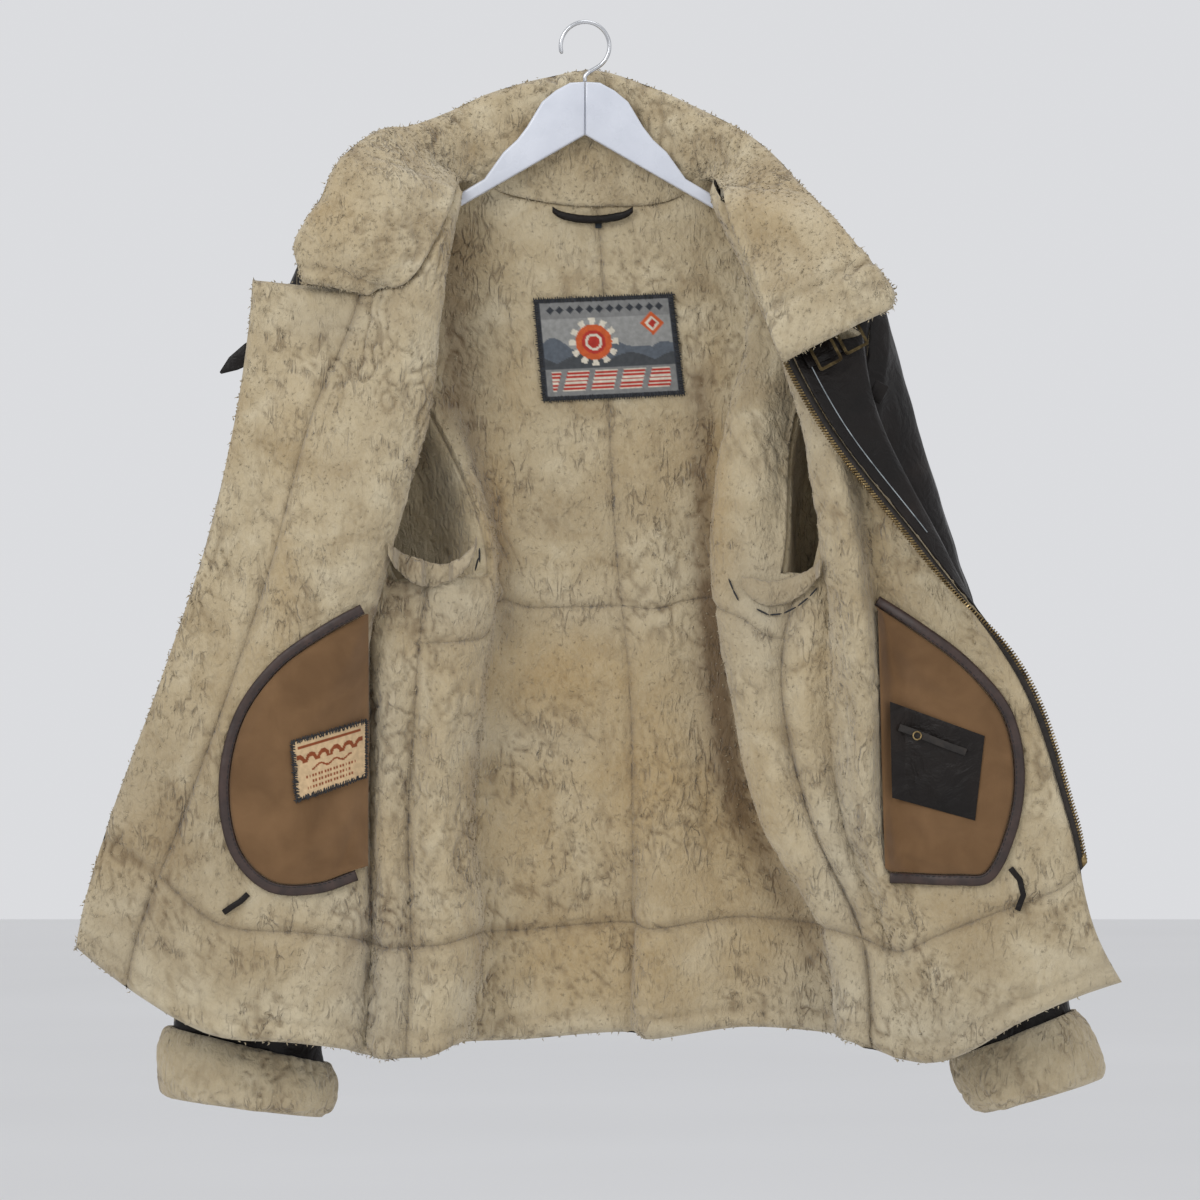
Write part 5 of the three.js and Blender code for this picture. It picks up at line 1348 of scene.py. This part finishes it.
# %% Hanging loop and hook
loop_depth = np.mean([v.co.y for v in bpy.data.objects["hang_loop"].data.vertices]) / MM
path = even_curve([(-28, -158), (-22, -162), (-8, -165.5), (6, -166.5), (20, -165.5), (35, -162),
                   (41, -158)], 60)
rings = []
for n, (x, z) in enumerate(path):
    flatten = 1 - 0.25 * (abs(n - 29.5) / 29.5) ** 6
    ring = []
    for s, angle in enumerate(circle(16)):
        reach = 3.5 * flatten * (1 + 0.10 * noise.noise(Vector((x / 5.0, s * 0.4, 1.0))))
        ring.append((x, loop_depth + reach * math.sin(angle), z + reach * math.cos(angle)))
    rings.append(ring)
joined(swept("hanging_loop", rings), "leather", leather, ["hang_loop"], (0.075, 0.012), "folded",
       ["shearling_back_upper_left"])

HOOK_WIRE, HOOK_RADIUS = 3.6, 19.0
hook_line = HOOK_RADIUS + HOOK_WIRE / 2
hook_path = [(0, -49.1), (0, -45), (3, -41.5)]
hook_path += [(hook_line * math.cos(math.radians(a)), -HOOK_RADIUS + hook_line * math.sin(math.radians(a)))
              for a in range(-62, 201, 10)]
path = even_curve(hook_path, 110)
ways = np.gradient(path, axis=0)
ways /= np.linalg.norm(ways, axis=1, keepdims=True)
rings = []
for n, ((x, z), (wx, wz)) in enumerate(zip(path, ways)):
    tip = min(1.0, (len(path) - 1 - n) / 3.0 + 0.45)
    radius = HOOK_WIRE / 2 * tip
    rings.append([(x - wz * radius * math.cos(a), radius * math.sin(a), z + wx * radius * math.cos(a))
                  for a in circle(20)])
joined(swept("wire_hook", rings), "steel", steel, ["hook"])
print("hook", round(hook_line, 2), "loop depth", round(float(loop_depth), 1))

# %% [markdown]
# ## Zips
# A tape runs along the right front's free edge, and its teeth stand on the outer edge of it. The
# other tape is sewn behind the left front. A tooth is a small block with cut corners, and each
# one is turned to follow the tape. A thin ridge lies along the leather's edge beside the teeth,
# coloured pale blue-grey as a painted highlight: the glint on that glossy edge.

# %% Zip tapes, teeth and a painted edge highlight
def along_column(name, first_row, last_row, way):
    """Places down one line of the body's net, with the way out across it and the way up off it."""
    column = column_of[name]
    picked = list(range(first_row, last_row + 1))
    here = sheet[picked, column]
    up = normals[picked, column]
    out = sheet[picked, column + way] - here
    out -= up * np.sum(out * up, axis=1, keepdims=True)
    return here, out / np.linalg.norm(out, axis=1, keepdims=True), up


def strip_along(name, line, first_row, last_row, way, outs, ups, flat, on):
    """A zip tape on the line, from one distance out to another and one height up to another."""
    here, out, up = along_column(line, first_row, last_row, way)
    (o0, o1), (u0, u1) = outs, ups
    section = [(o0, u0), ((o0 + o1) / 2, u0), (o1, u0), (o1, u1), ((o0 + o1) / 2, u1), (o0, u1)]
    rings = [[p + o * a + n * b for a, b in section] for p, o, n in zip(here, out, up)]
    return joined(swept(name, rings), "zip_tape", tape, ["zip_" + name], flat, "laid", on)


TOOTH_PITCH, TOOTH_SIZE, TOOTH_ROUNDING = 2.7, (4.2, 1.6, 3.2), 0.25


def teeth(name, line, first_row, last_row, way, out_at, up_at):
    """One mesh of teeth along a line: blocks a little narrower on the side away from the tape."""
    reach, thick, high = (side / 2 for side in TOOTH_SIZE)
    here, out, up = along_column(line, first_row, last_row, way)
    path = here + out * out_at + up * up_at
    lengths = lengths_along(path)
    points, faces = [], []
    for at in np.arange(TOOTH_PITCH, lengths[-1] - TOOTH_PITCH, TOOTH_PITCH):
        def read(table):
            return np.array([np.interp(at, lengths, table[:, k]) for k in range(3)])
        p, o, n = read(path), read(out), read(up)
        along = np.cross(o, n)
        first = len(points)
        for height in (-1, 1):
            for a, b in ((-1, -1), (1, -1), (1, 1), (-1, 1)):
                chamfer = 1.0 if a * way < 0 else 0.8
                points.append(p + o * a * reach + along * b * chamfer * thick + n * height * high)
        faces += [tuple(first + i for i in f) for f in
                  ((0, 3, 2, 1), (4, 5, 6, 7), (0, 1, 5, 4), (1, 2, 6, 5), (2, 3, 7, 6), (3, 0, 4, 7))]
    piece = solid(name, points, faces, smooth=False)
    rounding = piece.modifiers.new("round", "BEVEL")
    rounding.width = TOOTH_ROUNDING * MM
    rounding.segments = 1
    pick_only(piece)
    bpy.ops.object.modifier_apply(modifier="round")
    return joined(piece, "brass", brass)


strip_along("tape_right", "zip_edge", 0, band_row, -1, (-0.5, -8.0), (-1.0, 1.0),
            (0.66, 0.0095), ["shearling_front_right"])
strip_along("tape_left", "flap_seam", 4, band_row, 1, (-7.0, 7.0), (-6.5, -4.5),
            (0.50, 0.016), ["shearling_front_left"])
teeth("teeth_right", "zip_edge", 3, band_row, -1, -8.4, 0.0)
teeth("teeth_left", "flap_seam", 8, band_row, 1, -7.4, -5.5)

# painted highlight: a pale blue-grey glint on a thin ridge along the leather's folded edge
here, out, up = along_column("zip_edge", 6, int(np.argmin(abs(rows - 0.36))), -1)
rings = [[p + o * (10.5 + 0.5 * math.cos(a)) + n * (-BODY_WALL / 2 - 0.2 + 0.6 * math.sin(a))
          for a in circle(8)] for p, o, n in zip(here, out, up)]
painted_glint = two_tone("painted_glint", 0.3, 0.01, 3, (0.16, 0.18, 0.19), (0.36, 0.40, 0.42), (0.35, 0.65))
joined(swept("bright_piping", rings), "leather", painted_glint)

here, out, up = along_column("zip_edge", band_row - 4, band_row, -1)
rings = [[p + o * (-7.0 + 3.2 * math.cos(a)) + n * 2.4 * math.sin(a)
          for a in circle(12)] for p, o, n in zip(here, out, up)]
joined(swept("zip_box", rings), "brass", brass)
print("zips done")

# %% [markdown]
# ## Underarms
# At the foot of each armhole the sleeve's own wool folds out over the seam as a soft flap, sewn
# down with a few long dark stitches. Each flap is a flattened roll along a short path.

# %% Underarm flaps and their stitches
FLAP_LIFT, FLAP_FULLNESS = 2.5, 5.0
# side, panels under, path [x, z, half height], stitch places [x, z, x, z]
UNDERARMS = {
    "left": (("front_left", "back_upper_left"),
             [(-166, -449, 5), (-158, -459, 8), (-142, -468, 10), (-124, -471, 10), (-108, -466, 9),
              (-97, -455, 7), (-92, -443, 4)],
             [(-162, -459, -150, -466), (-150, -466, -142, -471), (-142, -471, -130, -474),
              (-130, -474, -118, -477), (-90, -450, -90, -458), (-91, -458, -93, -466),
              (-128, -471, -131, -479)]),
    "right": (("front_right", "back_upper_right"),
              [(133, -476, 5), (141, -482, 9), (154, -487, 11), (168, -486, 11), (181, -481, 10),
               (192, -474, 8), (199, -464, 5)],
              [(122, -474, 126, -484), (126, -484, 130, -492), (146, -500, 156, -505), (156, -505, 168, -504),
               (168, -504, 180, -498), (180, -498, 190, -490), (190, -490, 198, -481)]),
}
for side, (below, path, threads) in UNDERARMS.items():
    under = face_of(*(panels[name] for name in below), reach=5.0)
    places = even_curve(path, 120)
    base = depths_along(under, places, 10)
    rings, shades = [], []
    for (x, z, half), depth in zip(places, base):
        ring = []
        for angle in circle(36):
            out, up = math.sin(angle), math.cos(angle)
            point = np.array([x, depth - FLAP_LIFT - FLAP_FULLNESS * out * half / 10, z + half * up])
            height, cleft = wool([point], 3.6, 3.0, 6.0)
            # the blue channel darkens the whole flap a little and paints shade down in each cleft
            shades.append((0.3, 0.3, 0.2 + 0.6 * cleft[0]))
            ring.append(point + np.array([0, -0.7 * out, up]) * height[0])
        rings.append(ring)
    flap = swept("underarm_flap_" + side, rings)
    color_points(flap, "stain_and_shade", shades)
    joined(flap, "fleece", fleece, flat=(0.10, 0.024), held="folded", on=["shearling_" + below[0]])
    spots, ways = [], []
    for x0, z0, x1, z1 in threads:
        x, z = (x0 + x1) / 2, (z0 + z1) / 2
        spots.append((x, (under(x, z) or -40) - 1.0, z))
        ways.append((x1 - x0, 0, z1 - z0))
    stitches("underarm_stitches_" + side, spots, ways, 11.0, 1.6, 1.0, slot="fleece")
print("underarms done")

# %% [markdown]
# ## Loose locks of wool
# A mat of wool is never smooth at its edges. Small bent locks are scattered over it: a few
# everywhere, and many more along free edges and wherever the wool turns away from the viewer.
# Each lock is a three-sided spike with a bend. Locks that would touch another piece are left out.

# %% Scatter locks
KEEP_OFF, LOCK_LENGTH, LOCK_SPREAD = 0.0075, 2.7, 1.4
BODY_LOCKS, COLLAR_LOCKS = ((17000, 4500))


def locks(name, net, out, stain_and_shade_net, weights, count, seed):
    rng = np.random.default_rng(seed)
    chance = np.clip(weights, 0, None).ravel()
    chosen = rng.choice(chance.size, count, p=chance / chance.sum())
    base, up = net.reshape(-1, 3)[chosen], out.reshape(-1, 3)[chosen]
    near = np.array([keep_off.find_nearest(Vector(p * MM), KEEP_OFF)[0] is not None for p in base])
    base, up, chosen = base[~near], up[~near], chosen[~near]
    count = len(base)
    lean = rng.normal(size=(count, 3)) + np.array([0.0, 0.0, -0.8])
    lean -= up * np.sum(lean * up, axis=1, keepdims=True)
    lean /= np.linalg.norm(lean, axis=1, keepdims=True)
    side = np.cross(up, lean)
    long = LOCK_LENGTH * rng.uniform(0.55, 1.25, (count, 1))
    wide = rng.uniform(0.45, 0.85, (count, 1))
    aside = rng.uniform(-LOCK_SPREAD, LOCK_SPREAD, (count, 1))
    along = rng.uniform(-LOCK_SPREAD, LOCK_SPREAD, (count, 1))
    base = base + side * aside + lean * along - up * 0.8
    middle = base + up * 0.50 * long + lean * 0.30 * long
    tip = base + up * 0.55 * long + (lean + side * rng.normal(0, 0.4, (count, 1))) * 0.95 * long
    points = []
    for centre, share in ((base, 1.0), (middle, 0.75)):
        for angle in circle(3):
            points.append(centre + (side * math.cos(angle) + lean * math.sin(angle)) * wide * share)
    points = np.stack(points + [tip], axis=1)
    pattern = np.array([(0, 1, 4), (0, 4, 3), (1, 2, 5), (1, 5, 4), (2, 0, 3), (2, 3, 5),
                        (3, 4, 6), (4, 5, 6), (5, 3, 6), (2, 1, 0)])
    faces = (np.arange(count)[:, None, None] * 7 + pattern[None]).reshape(-1, 3)
    piece = solid(name, points.reshape(-1, 3), faces.tolist())
    colors = stain_and_shade_net.reshape(-1, 3)[chosen].copy()
    # a lock keeps the colour under it, with a third of its painted shade
    colors[:, 2] *= 0.3
    color_points(piece, "stain_and_shade", np.repeat(colors, 7, axis=0))
    joined(piece, "fleece", fleece)
    print(name, count, "locks")


others = [o for o in bpy.data.objects if o.type == "MESH" and o.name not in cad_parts
          and not o.name.startswith("shearling_")]
corners, polygons = [], []
for o in others:
    first = len(corners)
    corners += [v.co.copy() for v in o.data.vertices]
    polygons += [tuple(first + i for i in p.vertices) for p in o.data.polygons]
keep_off = BVHTree.FromPolygons(corners, polygons)

row_index, column_index = np.meshgrid(np.arange(sheet.shape[0]), np.arange(sheet.shape[1]), indexing="ij")
turned = (1 - np.clip(-normals[..., 1], 0, 1)) ** 2
shown = ~is_armhole(row_index, column_index) & (column_index < column_of["turned_edge"] + 2)
off_seams = 1 - 0.8 * np.clip(seams / BAND_GROOVE, 0, 1)
weights = (0.22 + 0.6 * np.exp(-edge / 5.0) + 0.6 * turned) * off_seams * shown
locks("wool_locks_body", wool_side, normals, stain_and_shade, weights, BODY_LOCKS, 11)
turned = (1 - np.clip(-collar_out[..., 1], 0, 1)) ** 2
weights = 0.25 + 0.7 * np.exp(-from_free / 5.0) + 0.6 * turned + 0.4 * np.exp(-from_end / 5.0)
locks("wool_locks_collar", collar_wool, collar_out, collar_stain_and_shade, weights, COLLAR_LOCKS, 12)

# %% [markdown]
# ## Light and floor
# The jacket was lit softly from all round, on a plain pale ground. A large floor lies well below
# it, the world is nearly white, and three broad lamps model the folds.

# %% Light and floor
FLOOR_SIZE, FLOOR_HEIGHT, WORLD_STRENGTH = 30.0, -1.35, 0.74
bpy.ops.object.select_all(action="DESELECT")
bpy.ops.mesh.primitive_plane_add(size=FLOOR_SIZE, location=(0.0, 0.0, FLOOR_HEIGHT))
floor = bpy.context.active_object
floor.name = "floor"
ground = two_tone("pale_floor", 0.9, 1.5, 2, (0.80, 0.80, 0.80), (0.83, 0.83, 0.83))
floor.data.materials.append(ground.material)
world = bpy.data.worlds.new("soft_light")
world.use_nodes = True
world.node_tree.nodes["Background"].inputs["Color"].default_value = (0.96, 0.97, 1.0, 1.0)
world.node_tree.nodes["Background"].inputs["Strength"].default_value = WORLD_STRENGTH
bpy.context.scene.world = world
# name, place, size in metres, power in watts
LAMPS = [
    ("key", (-1.9, -3.0, 1.3), 1.4, 46.0),
    ("fill", (2.4, -3.2, 0.2), 2.2, 13.0),
    ("top", (0.3, -0.6, 2.2), 1.6, 13.0),
]
for name, place, size, power in LAMPS:
    lamp = bpy.data.lights.new(name, "AREA")
    lamp.size = size
    lamp.energy = power
    holder = bpy.data.objects.new(name, lamp)
    bpy.context.collection.objects.link(holder)
    holder.location = place
    holder.rotation_euler = (view_centre - Vector(place)).to_track_quat("-Z", "Y").to_euler()
bpy.context.scene.view_settings.view_transform = "Standard"
bpy.context.scene.view_settings.look = "None"
print("lamps", len(LAMPS))

# %% [markdown]
# ## Sizes
# The dressed jacket must be as large as the imported model. Here the scene is only brought up to date.

# %% Finish
bpy.context.view_layer.update()
